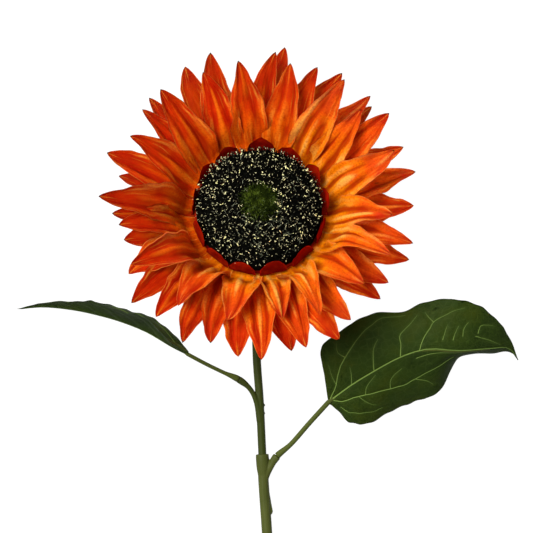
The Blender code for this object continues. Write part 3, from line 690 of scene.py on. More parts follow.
def petal_layer(layer, finish):
    """One ring of petals. Roots stand nearly evenly, and each tip reaches its own place."""
    draw = random.Random(layer.seed)
    fine = random.Random(layer.seed + FINE_SEED)
    step = math.tau / len(layer.tips)
    aims = []
    for index, (degrees, reach_mm) in enumerate(layer.tips):
        low = (1 - math.cos(math.radians(degrees))) / 2
        lift = layer.lift + layer.sag * low + LIFT_STEP * (-1) ** (index + 1)
        lift += draw.uniform(-LIFT_SPREAD, LIFT_SPREAD)
        curl = layer.curl + layer.sag * low * (1 - FOLD_SHARE * (layer.fold > 0))
        curl += draw.uniform(-CURL_SPREAD, CURL_SPREAD)
        bends = [math.radians(angle) for angle in (lift, curl, layer.fold * low ** 2)]
        aims.append(reach_petal(layer, degrees, reach_mm * MM, *bends))
    first = sum(nearest_turn(aim[0] - index * step) for index, aim in enumerate(aims)) / len(aims)
    bm = bmesh.new()
    for index, (azimuth, distance, line) in enumerate(aims):
        even = first + index * step
        off = nearest_turn(azimuth - even)
        sway = distance * math.sin((1 - AIM_AT_ROOT) * off)
        half_width = layer.half_width * draw.uniform(*WIDTH_SPREAD)
        cup, keel = layer.cup * draw.uniform(*CUP_SPREAD), layer.keel * draw.uniform(*KEEL_SPREAD)
        roll, hook = draw.uniform(-PETAL_ROLL, PETAL_ROLL), draw.uniform(-PETAL_HOOK, PETAL_HOOK)
        outline = petal_outline(draw.uniform(*PETAL_POINTS))
        relief, fold, ragged = embossing(fine)
        surface = petal_surface(
            even + AIM_AT_ROOT * off, PETAL_ROOT, ring_level(layer.level), line, outline, half_width, cup,
            keel, roll, relief, sway, hook, ragged)
        # Each petal's redness: its ring's tone, a random spread, and painted shade on the left, where the
        # petals face away from the light.
        tone = layer.tone + fine.uniform(-TONE_SPREAD, TONE_SPREAD)
        tone += LEFT_PAINTED_SHADE * ease(LEFT_LEAST - LEFT_SLOPE * math.sin(azimuth - LEFT_TURN))
        blade(bm, PETAL_ROWS, PETAL_COLUMNS, surface, FABRIC, fold, tone)
    add_ring(bm, layer.level, RING_RADIUS)
    collected_on_head(bm, layer.name, finish, "petal_fabric", layer.node)


def lobe_ring(finish):
    """Short rounded lobes that stand up round the disc's rim."""
    draw = random.Random(LOBE_SEED)
    fine = random.Random(LOBE_SEED + FINE_SEED)
    bm = bmesh.new()
    for index in range(LOBES):
        length = LOBE_LENGTH * draw.uniform(0.85, 1.1)
        curl = math.radians(draw.uniform(0, LOBE_CURL))
        azimuth = (index + draw.uniform(-0.08, 0.08)) * math.tau / LOBES
        lift = LOBE_LIFT + LOBE_LOW_LIFT * (1 - math.cos(azimuth)) / 2
        lift = math.radians(lift + draw.uniform(-LOBE_LIFT_SPREAD, LOBE_LIFT_SPREAD))
        relief, fold, _ = embossing(fine)
        surface = petal_surface(
            azimuth, LOBE_ROOT, ring_level(RINGS), spine(length, lift, curl, 0.0, LOBE_FLAT, LOBE_BEND),
            lobe_outline, LOBE_HALF_WIDTH, draw.uniform(*LOBE_CUPS), LOBE_KEEL,
            draw.uniform(-LOBE_ROLL, LOBE_ROLL), lambda u, v: LOBE_CRUMPLE * relief(u, v))
        blade(bm, LOBE_ROWS, LOBE_COLUMNS, surface, FABRIC, fold, fine.uniform(0, 1))
    add_ring(bm, RINGS, LOBE_RING_RADIUS)
    collected_on_head(bm, "rim_lobes", finish, "lobe_fabric", "petals_inner")


def dome(radius):
    """Height of the disc's face at this distance from the axis."""
    share = min(radius / DISC_RADIUS, 1.0)
    return DISC_RIM + (DISC_CROWN - DISC_RIM) * (1 - share ** DISC_ROUNDNESS) ** (1 / DISC_ROUNDNESS)


def away(azimuth):
    """The way out from the head's axis at this angle, anticlockwise from the right."""
    return Vector((math.cos(azimuth), math.sin(azimuth), 0))


def dome_place(azimuth, radius):
    """A point of the disc's face, and the way the face looks there."""
    step = 0.2 * MM
    near, far = max(radius - step, 0), min(radius + step, DISC_RADIUS)
    outward, up = Vector((dome(near) - dome(far), far - near)).normalized()
    return away(azimuth) * radius + UP * dome(radius), away(azimuth) * outward + UP * up


def seed_core(finish):
    """The dark body of the seed head under its pile."""
    bm = bmesh.new()
    profile = [(0, dome(0) - CORE_DROP)]
    for k in range(1, CORE_RINGS + 1):
        radius = DISC_RADIUS * math.sin(math.pi / 2 * k / CORE_RINGS)
        profile.append((radius, dome(radius) - CORE_DROP * (1 - k / CORE_RINGS)))
    profile += [(DISC_RADIUS, 0), (RING_HOLE, 0), (RING_HOLE, PIN_TIP + GAP), (0, PIN_TIP + GAP)]
    turned(bm, profile, CORE_STEPS)
    collected_on_head(bm, "seed_core", finish, "seed_pile", "disc")


def pile_places():
    """Each fibre of the seed head: its foot, its heading and its length, in the head's frame."""
    draw = random.Random(FIBRE_SEED)
    inner, outer = TUFT_RADIUS - MM, DISC_RADIUS - GAP
    places = []
    for k in range(FIBRES):
        share = ((k + draw.uniform(0, 1)) / FIBRES) ** FIBRE_CROWDING
        radius = math.sqrt(inner ** 2 + (outer ** 2 - inner ** 2) * share)
        azimuth = k * GOLDEN_ANGLE + draw.uniform(-0.03, 0.03)
        if radius > outer - BARE_RIM * ease(0.5 - 1.5 * math.sin(azimuth)):
            continue
        spot, face = dome_place(azimuth, radius)
        heading = (face + scatter(draw, FIBRE_LEAN)).normalized()
        places.append((spot - UP * SEATED, heading, FIBRE_LENGTH * (0.75 + 0.5 * draw.random())))
    return places


def scatter(draw, spread):
    """A short random step in any direction."""
    return Vector(draw.gauss(0, spread) for _ in range(3))


def standing(foot, heading):
    """Turns Z to the heading and puts the origin at the foot."""
    return Matrix.Translation(foot) @ UP.rotation_difference(heading).to_matrix().to_4x4()


def bristle(bm, foot, heading, length, radius, taper):
    """Adds a thin three-sided fibre. Its top's radius is this share of its foot's."""
    bmesh.ops.create_cone(
        bm, cap_ends=True, segments=3, radius1=radius, radius2=radius * taper, depth=length,
        matrix=standing(foot, heading) @ Matrix.Translation((0, 0, length / 2)))


def pile(places, finish):
    """Dark stiff fibres all over the seed head."""
    def fibre(bm, index):
        bristle(bm, *places[index], FIBRE_RADIUS, FIBRE_TAPER)
    collected_on_head(gathered(len(places), fibre), "seed_fibres", finish, "seed_pile")


def grains(tips, chosen, finish):
    """Thick soft tips on some of the fibres, many of them bent over."""
    draw = random.Random(len(chosen))

    def grain(bm, index):
        foot, heading, length = chosen[index]
        aside = heading.cross(scatter(draw, 1)).normalized()
        lying = (heading + aside * draw.uniform(0, 3)).normalized()
        width = tips.radius * draw.uniform(0.65, 1.3)
        sizes = width, width * draw.uniform(0.6, 1.0), tips.length / 2 * draw.uniform(0.6, 1.4), 1
        shape = standing(foot + heading * length, lying) @ Matrix.Diagonal(sizes)
        bmesh.ops.create_icosphere(bm, subdivisions=1, radius=1, matrix=shape)
    collected_on_head(gathered(len(chosen), grain), tips.name, finish, "seed_pile")


def tuft_height(share):
    """Height of the tuft's body at this share of its radius."""
    return dome(0) - TUFT_SINK + TUFT_RISE * math.sqrt(max(1 - share ** 2, 0))


def green_tuft(core_finish, hair_finish):
    """The fuzzy green middle of the seed head."""
    radius = TUFT_RADIUS - 2 * GAP
    shares = [math.sin(math.pi / 2 * k / TUFT_BENDS) for k in range(TUFT_BENDS + 1)]
    bm = bmesh.new()
    profile = [(radius * share, tuft_height(share)) for share in shares]
    turned(bm, profile + [(0, tuft_height(1))], TUFT_STEPS)
    collected_on_head(bm, "tuft_core", core_finish, "tuft_pile", "disc_centre")
    draw = random.Random(TUFT_SEED)

    def hair(bm, index):
        share = math.sqrt((index + draw.random()) / HAIRS)
        out = away(index * GOLDEN_ANGLE)
        heading = (out * HAIR_SPLAY * share ** 3 + UP + scatter(draw, HAIR_LEAN)).normalized()
        foot = out * share * radius + UP * (tuft_height(share) - SEATED)
        bristle(bm, foot, heading, HAIR_LENGTH * draw.uniform(0.6, 1.1), HAIR_RADIUS, HAIR_TAPER)
    collected_on_head(gathered(HAIRS, hair), "tuft_hairs", hair_finish, "tuft_pile")


def loose_fibres(name, count, spread, nearest, farthest, finish):
    """Thin fibres that curl over the pile between two distances from its middle, more in its lower part."""
    draw = random.Random(count)
    bm = bmesh.new()
    for _ in range(count):
        azimuth = draw.gauss(-math.pi / 2, spread)
        spot, face = dome_place(azimuth, draw.uniform(nearest, farthest))
        heading = face.cross(scatter(draw, 1)).normalized()
        bend = face.cross(heading) * draw.uniform(-1, 1)
        size = draw.uniform(*CURL_SIZES)
        points = []
        for t in (0, 0.33, 0.66, 1.0):
            height = CURL_LIFT + CURL_ARCH * (1 - (2 * t - 0.6) ** 2)
            points.append(spot + (heading * t + bend * t * t) * size + face * height)
        rod(bm, points, CURL_RADII, sides=3)
    collected_on_head(bm, name, finish, "seed_pile")


def cup_back():
    """Height of the cup's front face, just behind the last ring of petals, in the head's frame."""
    return ring_level(1) - RING_THICKNESS / 2 - GAP


def bract(bm, index, draw, fine):
    """Adds one pointed bract behind the petals. The table presses up those that would reach below it."""
    level = cup_back() - BRACT_DROP
    length = BRACT_LENGTH * draw.uniform(0.94, 1.04)
    sway, roll = draw.uniform(-BRACT_SWAY, BRACT_SWAY), draw.uniform(-BRACT_ROLL, BRACT_ROLL)
    veins = fine.randint(2, 3)

    def ribs(u, v):
        return BRACT_RIB * math.cos(math.tau * veins * v) * (1 - u) * ease(u / 0.2)

    def curled(curl):
        line = spine(length, -math.radians(BRACT_DROOP), math.radians(curl), flat=BRACT_FLAT)
        return petal_surface(
            (index + 0.5) * math.tau / BRACTS, BRACT_ROOT, level, line, bract_outline, BRACT_HALF_WIDTH,
            BRACT_CUP, BRACT_KEEL, roll, ribs, sway, cup_start=0.0)

    curl = BRACT_CURL
    while (HEAD @ curled(curl)(1, 0)).z < BRACT_REST:
        curl -= 1
    blade(bm, BRACT_ROWS, BRACT_COLUMNS, curled(curl), BRACT_THICKNESS, None, fine.random())


def calyx(finish):
    """The green cup behind the petals, with its pin, its stem socket and a whorl of pointed bracts."""
    back = cup_back()
    foot = back - CUP_DEPTH
    neck = SOCKET_RADIUS + NECK_WALL
    profile = [(0, PIN_TIP), (PIN_RADIUS, PIN_TIP), (PIN_RADIUS, back), (CUP_RADIUS - MM, back)]
    for k in range(CUP_BENDS + 1):
        turn = math.pi / 2 * k / CUP_BENDS
        radius = blend(neck, CUP_RADIUS, math.cos(turn) ** CUP_FULLNESS)
        profile.append((radius, back - MM - CUP_DEPTH * CUP_BOWL * math.sin(turn)))
    profile += [(neck, foot), (SOCKET_RADIUS, foot)]
    profile += [(SOCKET_RADIUS, foot + SOCKET_DEPTH), (0, foot + SOCKET_DEPTH)]
    draw = random.Random(BRACT_SEED)
    fine = random.Random(BRACT_SEED + FINE_SEED)
    bm = bmesh.new()
    for index in range(BRACTS):
        bract(bm, index, draw, fine)
    turned(bm, profile, CUP_STEPS)
    collected_on_head(bm, "calyx_cup", finish, "calyx_plastic", "calyx")


def on_arm(arm, first, last, steps):
    """Points along an arm between two of its numbered points."""
    route = on_table(arm.points)
    end = len(route) - 1
    return [along(route, blend(first, last, k / steps) / end) for k in range(steps + 1)]


def joint_of(arm):
    """Where the stalk meets its branch, and the way the stalk leaves."""
    before, place, after = on_arm(arm, arm.joint - 0.05, arm.joint + 0.05, 2)
    return place, (after - before).normalized()


def neck_bend():
    """Points from inside the calyx's socket, round the bend, to where the stem runs level."""
    axis = Vector((0, math.sin(HEAD_TILT), math.cos(HEAD_TILT)))
    ahead = Vector((0, -math.cos(HEAD_TILT), math.sin(HEAD_TILT)))
    foot = cup_back() - CUP_DEPTH
    top = HEAD_CENTRE + axis * (foot + SOCKET_DEPTH - GAP)
    start = HEAD_CENTRE + axis * (foot - 2 * GAP)
    points = [top, top.lerp(start, 0.5)]
    for k in range(NECK_STEPS + 1):
        turn = (math.pi / 2 - HEAD_TILT) * k / NECK_STEPS
        points.append(start - axis * NECK_BEND * math.sin(turn) + ahead * NECK_BEND * (1 - math.cos(turn)))
    return points


def add_branch(bm, arm):
    """Adds the branch that carries a leaf's stalk, with a waist before its swollen end."""
    branch = on_arm(arm, 0, arm.joint, ARM_STEPS)
    radii = []
    for k in range(len(branch)):
        share = k / ARM_STEPS
        waisted = ease(share / 0.5) * (1 - ease((share - 0.7) / 0.25))
        radii.append(blend(arm.radius, arm.waist, waisted))
    rod(bm, branch, radii)


def stem_upper(finish):
    """The stem from the calyx's socket to the plug in the sleeve, with the left branch."""
    bend = neck_bend()
    run = [bend[-1]] + on_table(STEM_ROUTE)
    route = bend + [along(run, k / STEM_STEPS) for k in range(1, STEM_STEPS + 1)]
    slim = len(route) - SLIM_STEPS
    radii = [blend(NECK_RADIUS, STEM_RADIUS, ease(k / slim)) for k in range(len(route))]
    bm = bmesh.new()
    rod(bm, route, radii)
    add_branch(bm, LEFT_ARM)
    for spot, radius in NUBS:
        place = Matrix.Translation(*on_table([spot]))
        bmesh.ops.create_icosphere(bm, subdivisions=2, radius=radius, matrix=place)
    collected(moulded(bm), "upper_stem", finish, "stem_plastic", "stem_upper")


def stem_lower(finish):
    """The thicker foot of the stem, with the sleeve for the upper stem and the right leaf's branch."""
    line = on_table(FOOT_ROUTE)
    route = [along(line, k / FOOT_STEPS) for k in range(FOOT_STEPS + 1)]
    bm = bmesh.new()
    rod(bm, route, [FOOT_RADIUS] * len(route))
    covered = SLEEVE_LENGTH / (line[-1] - line[0]).length
    steps = len(SLEEVE_RADII) - 1
    rod(bm, [along(line, covered * k / steps) for k in range(steps + 1)], SLEEVE_RADII)
    add_branch(bm, RIGHT_ARM)
    rod(bm, on_table(FLASH_ROUTE), FLASH_RADII, sides=FLASH_SIDES)
    bore = bmesh.new()
    upper = on_table(STEM_ROUTE[-3:])
    mouth = [along(upper, 1 - share) for share in SEAT_STEPS]
    rod(bore, mouth, [STEM_RADIUS + SEAT_CLEARANCE] * len(mouth))
    collected(moulded(bm, bore), "lower_stem", finish, "stem_plastic", "stem_lower")


def leaf_surface(stations, shape, relief):
    """A blade through its rib and its two edges, with waves that grow towards the edges.

    shape holds the phase and height of its waves, the depth of its scallops and the dips in its edges. A dip
    has its side, its place along the edge, how far it spreads to both sides and its depth as a share.
    """
    rib, near, far = (on_table(rail) for rail in zip(*stations))

    def place(u, v):
        middle = along(rib, u)
        uneven = noise.noise(Vector((u * SCALLOPS, 9 * (v > 0), shape.phase)))
        width = 1 + shape.scallop * uneven * faded(u, 0.1, 0.1)
        for side, centre, spread, depth in shape.dips:
            if side == (v > 0):
                width -= depth * math.exp(-((u - centre) / spread) ** 2)
        edge = (along(near if v > 0 else far, u) - middle) * width
        face = (along(rib, u + 0.02) - along(rib, u - 0.02)).cross(edge)
        face = face.normalized() if face.length > 0 else face
        wave = math.sin(math.tau * BLADE_WAVES * u + (0 if v > 0 else shape.phase)) * math.sin(math.pi * u)
        lift = shape.wave_height * wave * v ** 2 + BLADE_ARCH * edge.length * abs(v) * (1 - abs(v))
        lift += relief(u, v)
        return middle + edge * abs(v) + face * lift * (1 if v > 0 else -1)

    return place


def leaf(name, node, arm, stations, veins, shape, finish):
    """A leaf: a round stalk with a plug at its foot, a veined blade, and the stalk's rib on along below."""
    draw = random.Random(shape.seed)
    phases = [draw.uniform(0, math.tau) for _ in range(4)]

    def edge_wave(u, v):
        coarse = math.sin(23 * math.pi * u + phases[v > 0])
        fine = 0.6 * math.sin(74 * u + phases[2 + (v > 0)])
        return EDGE_WAVE * (coarse + fine) * abs(v) ** 6 * math.sin(math.pi * u)

    plain = leaf_surface(stations, shape, edge_wave)
    lines = []
    for thick, thin, points in veins:
        route = [Vector(point) for point in points]
        spots = [along(route, k / VEIN_STEPS) for k in range(VEIN_STEPS + 1)]
        lines.append((thick * VEIN_WIDTH * MM, thin * VEIN_WIDTH * MM, spots))
    samples = VEIN_STEPS * VEIN_SAMPLES
    tree = kdtree.KDTree(len(lines) * samples)
    for _, _, spots in lines:
        for k in range(samples):
            tree.insert(plain(*along(spots, k / samples)), 0)
    tree.balance()

    def vein_share(u, v):
        return math.exp(-(tree.find(plain(u, v))[2] / VEIN_REACH) ** 2)

    def embossed(u, v):
        share = vein_share(u, v)
        quilt = QUILT_HEIGHT * noise.noise(plain(u, v) * QUILTS) * (1 - share)
        return edge_wave(u, v) + quilt - VEIN_SINK * share

    surface = leaf_surface(stations, shape, embossed)
    bm = bmesh.new()
    blade(bm, BLADE_ROWS, BLADE_COLUMNS, lambda u, v: surface(u * BLADE_END, v), BLADE_THICKNESS,
          lambda u, v: vein_share(u * BLADE_END, v))
    fold = bm.verts.layers.float["fold"]
    for thick, thin, spots in lines:
        radii = [blend(thick, thin, k / VEIN_STEPS) for k in range(VEIN_STEPS + 1)]
        vein = rod(bm, [surface(*spot) for spot in spots], radii, sides=VEIN_SIDES)
        for index, vert in enumerate(vein):
            vert[fold] = VEIN_MARK - VEIN_FADE * (index // VEIN_SIDES) / VEIN_STEPS
    place, heading = joint_of(arm)
    route = [place - heading * PLUG_LENGTH, place + heading * GAP, place + heading * 1.2 * GAP]
    radii = [PLUG_RADIUS, PLUG_RADIUS, STALK_FOOT_RADIUS]
    rib, near, _ = (on_table(rail) for rail in zip(*stations))
    route += on_arm(arm, arm.joint, len(arm.points) - 1, ARM_STEPS)[1:]
    for k in range(1, ARM_STEPS + 1):
        radii.append(blend(STALK_FOOT_RADIUS, arm.stalk, ease(3 * k / ARM_STEPS)))
    for k in range(1, ARM_STEPS + 1):
        u = RIB_REACH * k / ARM_STEPS
        radii.append(arm.stalk * (1 - RIB_TAPER * k / ARM_STEPS))
        ahead = along(rib, u + 0.02) - along(rib, u - 0.02)
        face = ahead.cross(along(near, u) - along(rib, u)).normalized()
        below = -face if face.z > 0 else face
        route.append(along(rib, u) + below * ease(k / 2) * (radii[-1] + BLADE_THICKNESS / 2 + VEIN_SINK))
    for vert in rod(bm, route, radii, sides=STALK_SIDES):
        vert[fold] = STALK_MARK
    collected(bm, name, finish, "leaf_fabric", node)


def wire(tree, made, inputs):
    """Gives each of a node's sockets a value, or the output that it reads."""
    for socket, value in inputs.items():
        if isinstance(value, bpy.types.NodeSocket):
            tree.links.new(value, made.inputs[socket])
        else:
            made.inputs[socket].default_value = value


def node(tree, kind, inputs=None, **settings):
    """Adds a node with these inputs and settings."""
    made = tree.nodes.new("ShaderNode" + kind)
    for name, value in settings.items():
        setattr(made, name, value)
    wire(tree, made, inputs or {})
    return made


def new_finish(name):
    """A new finish, its nodes and its Object coordinates."""
    made = bpy.data.materials.new(name)
    made.use_nodes = True
    return made, made.node_tree, node(made.node_tree, "TexCoord").outputs["Object"]


def shade(tree, colour, heights, depth, roughness, specular, others=None):
    """Gives the shader its colour, a relief of this depth, its gloss and its other values."""
    relief = node(tree, "Bump", {"Height": heights, "Distance": depth}).outputs[0]
    values = {"Base Color": colour, "Normal": relief, "Roughness": roughness, "Specular IOR Level": specular}
    wire(tree, tree.nodes["Principled BSDF"], values | (others or {}))


def attribute(tree, name):
    return node(tree, "Attribute", attribute_name=name).outputs["Fac"]


def ramp(tree, factor, stops):
    """Colours, or a grey for a single number, blended along a factor from 0 to 1."""
    made = node(tree, "ValToRGB", {"Fac": factor})
    band = made.color_ramp.elements
    while len(band) < len(stops):
        band.new(0.5)
    for element, (place, colour) in zip(band, stops):
        element.position = place
        element.color = (*colour, 1) if isinstance(colour, tuple) else (colour, colour, colour, 1)
    return made.outputs["Color"]


def mix(tree, factor, first, last):
    """Two colours mixed by a factor. Each is an output, or its red, green and blue."""
    first, last = ((*colour, 1) if isinstance(colour, tuple) else colour for colour in (first, last))
    return node(tree, "Mix", {0: factor, 6: first, 7: last}, data_type="RGBA").outputs[2]


def maths(tree, operation, first, second=0.0, clamp=False):
    return node(tree, "Math", {0: first, 1: second}, operation=operation, use_clamp=clamp).outputs[0]


def clouds(tree, vector, fineness, detail, stretch=(1, 1, 1)):
    """Cloudy variation from 0 to 1, finer along each axis by its stretch."""
    mapped = node(tree, "Mapping", {"Vector": vector, "Scale": stretch}).outputs[0]
    return node(tree, "TexNoise", {"Vector": mapped, "Scale": fineness, "Detail": detail}).outputs["Fac"]


def petal_fabric():
    """Dyed satin: red at the root, golden, red-orange at the tip; painted shade darkens the folds and the
    shaded petals, and painted highlights light its ridges, low streaks and margins.
    """
    made, tree, solid = new_finish("petal_fabric")
    cloth = node(tree, "UVMap").outputs[0]
    lengthwise, crosswise, _ = node(tree, "SeparateXYZ", {0: cloth}).outputs
    dye_and_shade, fold = attribute(tree, "dye_and_shade"), attribute(tree, "fold")
    cloud = clouds(tree, solid, 110, 5)
    streak = clouds(tree, cloth, 1, 4, (2.2, 7, 1))
    drift = maths(tree, "MULTIPLY", maths(tree, "SUBTRACT", cloud, 0.5), 0.75)
    shifted = maths(tree, "ADD", lengthwise, drift)
    golden = ramp(tree, shifted, (
        (0.0, (0.40, 0.014, 0.001)), (0.06, (0.78, 0.10, 0.001)), (0.16, (1.0, 0.31, 0.002)),
        (0.50, (1.0, 0.34, 0.003)), (0.74, (1.0, 0.17, 0.006)), (1.0, (0.72, 0.042, 0.010))))
    red = ramp(tree, shifted, (
        (0.04, (0.20, 0.004, 0.001)), (0.24, (0.74, 0.095, 0.001)), (0.46, (0.86, 0.095, 0.002)),
        (0.66, (0.72, 0.032, 0.002)), (1.0, (0.46, 0.008, 0.001))))
    deep = ramp(tree, shifted, (
        (0.04, (0.13, 0.002, 0.001)), (0.3, (0.42, 0.022, 0.001)), (0.55, (0.54, 0.034, 0.001)),
        (1.0, (0.33, 0.004, 0.001))))
    # A petal's tone and painted shade turn it from golden to red to deep red: the red and deep red are
    # painted shade on the left and back petals.
    fresh = mix(tree, ramp(tree, dye_and_shade, ((0.0, 0.0), (0.5, 1.0))), golden, red)
    body = mix(tree, ramp(tree, dye_and_shade, ((0.5, 0.0), (1.0, 1.0))), fresh, deep)
    streaked = mix(tree, ramp(tree, streak, ((0.48, 0.0), (0.68, 0.4))), body, (0.52, 0.028, 0.001))
    # Painted highlight where the streaks are low.
    lit = mix(tree, ramp(tree, streak, ((0.30, 0.6), (0.45, 0.0))), streaked, (1.0, 0.48, 0.045))
    # Painted shade deep in the folds.
    folded = mix(tree, ramp(tree, fold, ((0.54, 0.0), (0.9, 0.8))), lit, (0.42, 0.006, 0.001))
    # Painted highlight on the ridges, weaker and deeper in colour on the petals in painted shade.
    creased = ramp(tree, fold, ((0.0, 1.0), (0.36, 0.0)))
    ridge = maths(tree, "MULTIPLY", creased, ramp(tree, dye_and_shade, ((0.08, 0.95), (0.5, 0.6), (0.8, 0.2))))
    ridge_highlight_colour = ramp(tree, dye_and_shade, ((0.1, (1.0, 0.56, 0.09)), (0.45, (1.0, 0.27, 0.008))))
    ridged = mix(tree, ridge, folded, ridge_highlight_colour)
    # Painted highlight along the petals' margins.
    across = maths(tree, "ABSOLUTE", maths(tree, "SUBTRACT", crosswise, 0.5))
    margin_highlighted = mix(tree, ramp(tree, across, ((0.46, 0.0), (0.49, 0.6))), ridged, (1.0, 0.36, 0.06))
    grain = clouds(tree, solid, 900, 2)
    speckled = mix(tree, ramp(tree, grain, ((0.45, 0.0), (0.7, 0.45))), margin_highlighted, (0.55, 0.02, 0.001))
    warp = node(tree, "TexWave", {"Vector": cloth, "Scale": 22.0}, bands_direction="X").outputs["Fac"]
    weft = node(tree, "TexWave", {"Vector": cloth, "Scale": 12.0}, bands_direction="Y").outputs["Fac"]
    weave = maths(tree, "MULTIPLY", maths(tree, "MAXIMUM", warp, weft), 0.12)
    heights = maths(tree, "ADD", weave, maths(tree, "MULTIPLY", streak, 2.0))
    shade(tree, speckled, heights, depth=0.4 * MM, roughness=0.45, specular=0.09, others={
        "Specular Tint": (1.0, 0.45, 0.12, 1), "Subsurface Weight": 0.15,
        "Subsurface Radius": (1.0, 0.18, 0.03), "Subsurface Scale": 1.0 * MM})
    return made


def lobe_velvet():
    """Dark red velvet, darkest at the root and redder towards the tip."""
    made, tree, solid = new_finish("lobe_velvet")
    lengthwise = node(tree, "SeparateXYZ", {0: node(tree, "UVMap").outputs[0]}).outputs[0]
    body = ramp(tree, lengthwise, (
        (0.0, (0.08, 0.001, 0.001)), (0.5, (0.32, 0.004, 0.001)), (1.0, (0.54, 0.012, 0.001))))
    cloud = ramp(tree, clouds(tree, solid, 160, 4), ((0.4, 0.0), (0.65, 0.6)))
    clouded = mix(tree, cloud, body, (0.52, 0.026, 0.002))
    shade(tree, clouded, clouds(tree, solid, 1500, 2), depth=0.1 * MM, roughness=0.8, specular=0.02)
    return made


def plain_pile(name, dark, light, fineness, roughness, patches=None):
    """Fibres whose colour varies from one to the next. patches is the fineness of any darker patches."""
    made, tree, solid = new_finish(name)
    spots = node(tree, "TexVoronoi", {"Vector": solid, "Scale": fineness}).outputs["Color"]
    body = ramp(tree, node(tree, "SeparateColor", {0: spots}).outputs[0], ((0.0, dark), (1.0, light)))
    if patches:
        cloud = clouds(tree, solid, patches, 2)
        body = mix(tree, ramp(tree, cloud, ((0.4, 0.85), (0.6, 0.0))), body, dark)
    shade(tree, body, clouds(tree, solid, 2500, 2), 0.05 * MM, roughness, specular=0.02)
    return made


def leaf_fabric():
    """Dark green cloth with a fine net, paler veins and a moulded green stalk."""
    made, tree, solid = new_finish("leaf_fabric")
    vein = attribute(tree, "fold")
    blotch = ramp(tree, clouds(tree, solid, 45, 5), (
        (0.35, (0.027, 0.048, 0.008)), (0.5, (0.034, 0.060, 0.008)), (0.7, (0.048, 0.068, 0.006))))
    cells = node(tree, "TexVoronoi", {"Vector": solid, "Scale": 260.0}, feature="DISTANCE_TO_EDGE")
    net = cells.outputs["Distance"]
    netted = mix(tree, ramp(tree, net, ((0.0, 0.35), (0.07, 0.0))), blotch, (0.060, 0.092, 0.018))
    halo = mix(tree, ramp(tree, vein, ((0.2, 0.0), (1.0, 0.35))), netted, (0.06, 0.10, 0.018))
    veined = mix(tree, maths(tree, "SUBTRACT", vein, 1.0, clamp=True), halo, (0.15, 0.23, 0.045))
    stalked = mix(tree, maths(tree, "SUBTRACT", vein, 2.0, clamp=True), veined, (0.055, 0.068, 0.012))
    fine = maths(tree, "MULTIPLY", clouds(tree, solid, 1800, 2), 0.2)
    heights = maths(tree, "ADD", maths(tree, "MULTIPLY", net, 0.6), fine)
    shade(tree, stalked, heights, depth=0.4 * MM, roughness=0.6, specular=0.06)
    return made


def moulded_green(name, light, dark):
    """Soft moulded plastic with lengthwise streaks."""
    made, tree, solid = new_finish(name)
    streak = clouds(tree, solid, 700, 4, (1, 0.12, 1))
    body = ramp(tree, clouds(tree, solid, 60, 3, (1, 0.4, 1)), ((0.3, dark), (0.7, light)))
    streaked = mix(tree, ramp(tree, streak, ((0.35, 0.5), (0.6, 0.0))), body, dark)
    shade(tree, streaked, streak, depth=0.35 * MM, roughness=0.5, specular=0.07)
    return made


def build_camera():
    """Straight above the flower, far enough away that it shows almost without perspective."""
    camera = bpy.data.cameras.new("camera")
    camera.sensor_width = SENSOR
    camera.lens = SENSOR * CAMERA_PLACE.z / (PICTURE * PIXEL)
    eye = bpy.data.objects.new("camera", camera)
    bpy.context.scene.collection.objects.link(eye)
    eye.location = HEAD_CENTRE + CAMERA_PLACE
    bpy.context.scene.camera = eye


def build_light():
    """A large soft light from the upper left, in an evenly white studio."""
    sun = bpy.data.lights.new("key", "SUN")
    sun.energy = SUN_STRENGTH
    sun.angle = SUN_SPREAD
    lamp = bpy.data.objects.new("key", sun)
    bpy.context.scene.collection.objects.link(lamp)
    lamp.rotation_euler = SUN_PLACE.to_track_quat("Z", "Y").to_euler()
    studio = bpy.data.worlds.new("studio")
    studio.use_nodes = True
    light = {"Color": (1, 1, 1, 1), "Strength": STUDIO_STRENGTH}
    wire(studio.node_tree, studio.node_tree.nodes["Background"], light)
    bpy.context.scene.world = studio
    bpy.context.scene.view_settings.view_transform = "Standard"


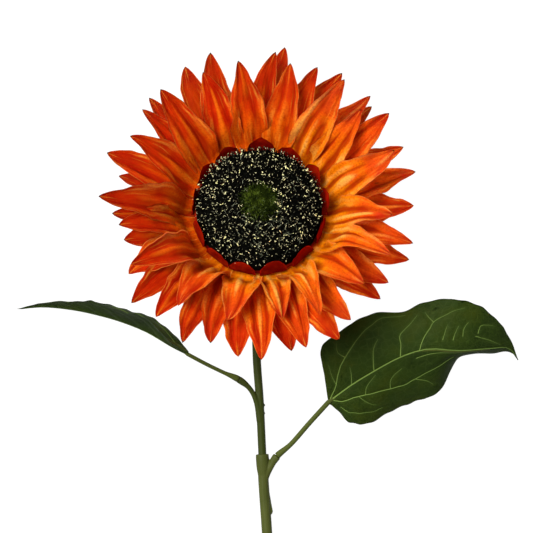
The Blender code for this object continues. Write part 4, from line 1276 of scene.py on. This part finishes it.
def build_floor():
    """A plain white surface under the flower."""
    bm = bmesh.new()
    bmesh.ops.create_grid(bm, x_segments=1, y_segments=1, size=FLOOR_SIZE)
    floor = loose_piece(bm, "floor")
    white = bpy.data.materials.new("floor")
    white.use_nodes = True
    wire(white.node_tree, white.node_tree.nodes["Principled BSDF"], {
        "Base Color": (0.05, 0.05, 0.05, 1), "Roughness": 0.9, "Emission Color": (1, 1, 1, 1),
        "Emission Strength": 1.0})
    floor.data.materials.append(white)


orange = petal_fabric()
for petals in LAYERS:
    petal_layer(petals, orange)
lobe_ring(lobe_velvet())
seed_black = plain_pile("seed_black", (0.0003, 0.0003, 0.0003), (0.003, 0.003, 0.002), 900, 0.9)
seed_core(seed_black)
stands = pile_places()
pile(stands, seed_black)
order = random.Random(TIPS_SEED).sample(stands, sum(tips.count for tips in TIPS))
for tips in TIPS:
    chosen, order = order[:tips.count], order[tips.count:]
    grains(tips, chosen, plain_pile(tips.finish, tips.dark, tips.light, 600, tips.roughness))
fibre_grey = plain_pile("fibre_grey", (0.05, 0.06, 0.03), (0.40, 0.42, 0.28), 500, 0.6)
loose_fibres("loose_fibres", CURLS, CURLS_SPREAD, TUFT_RADIUS + MM, DISC_RADIUS - 4 * MM, fibre_grey)
fibre_green = plain_pile("fibre_green", (0.03, 0.05, 0.01), (0.22, 0.28, 0.10), 500, 0.6)
loose_fibres("tuft_curls", TUFT_CURLS, TUFT_CURLS_SPREAD, 2 * MM, TUFT_RADIUS + 3 * MM, fibre_green)
green_tuft(plain_pile("tuft_dark", (0.003, 0.006, 0.001), (0.010, 0.016, 0.002), 500, 0.7),
           plain_pile("tuft_green", (0.005, 0.010, 0.001), (0.12, 0.17, 0.016), 900, 0.8, 160))
calyx(moulded_green("calyx_green", (0.052, 0.078, 0.018), (0.022, 0.038, 0.008)))
stem_upper(moulded_green("stem_green", (0.046, 0.055, 0.010), (0.021, 0.030, 0.004)))
stem_lower(moulded_green("foot_green", (0.068, 0.078, 0.017), (0.042, 0.051, 0.009)))
leaf_green = leaf_fabric()
leaf("left_leaf", "leaf_left", LEFT_ARM, LEFT_BLADE, LEFT_VEINS, LEFT_SHAPE, leaf_green)
leaf("right_leaf", "leaf_right", RIGHT_ARM, RIGHT_BLADE, RIGHT_VEINS, RIGHT_SHAPE, leaf_green)
build_camera()
build_light()
build_floor()
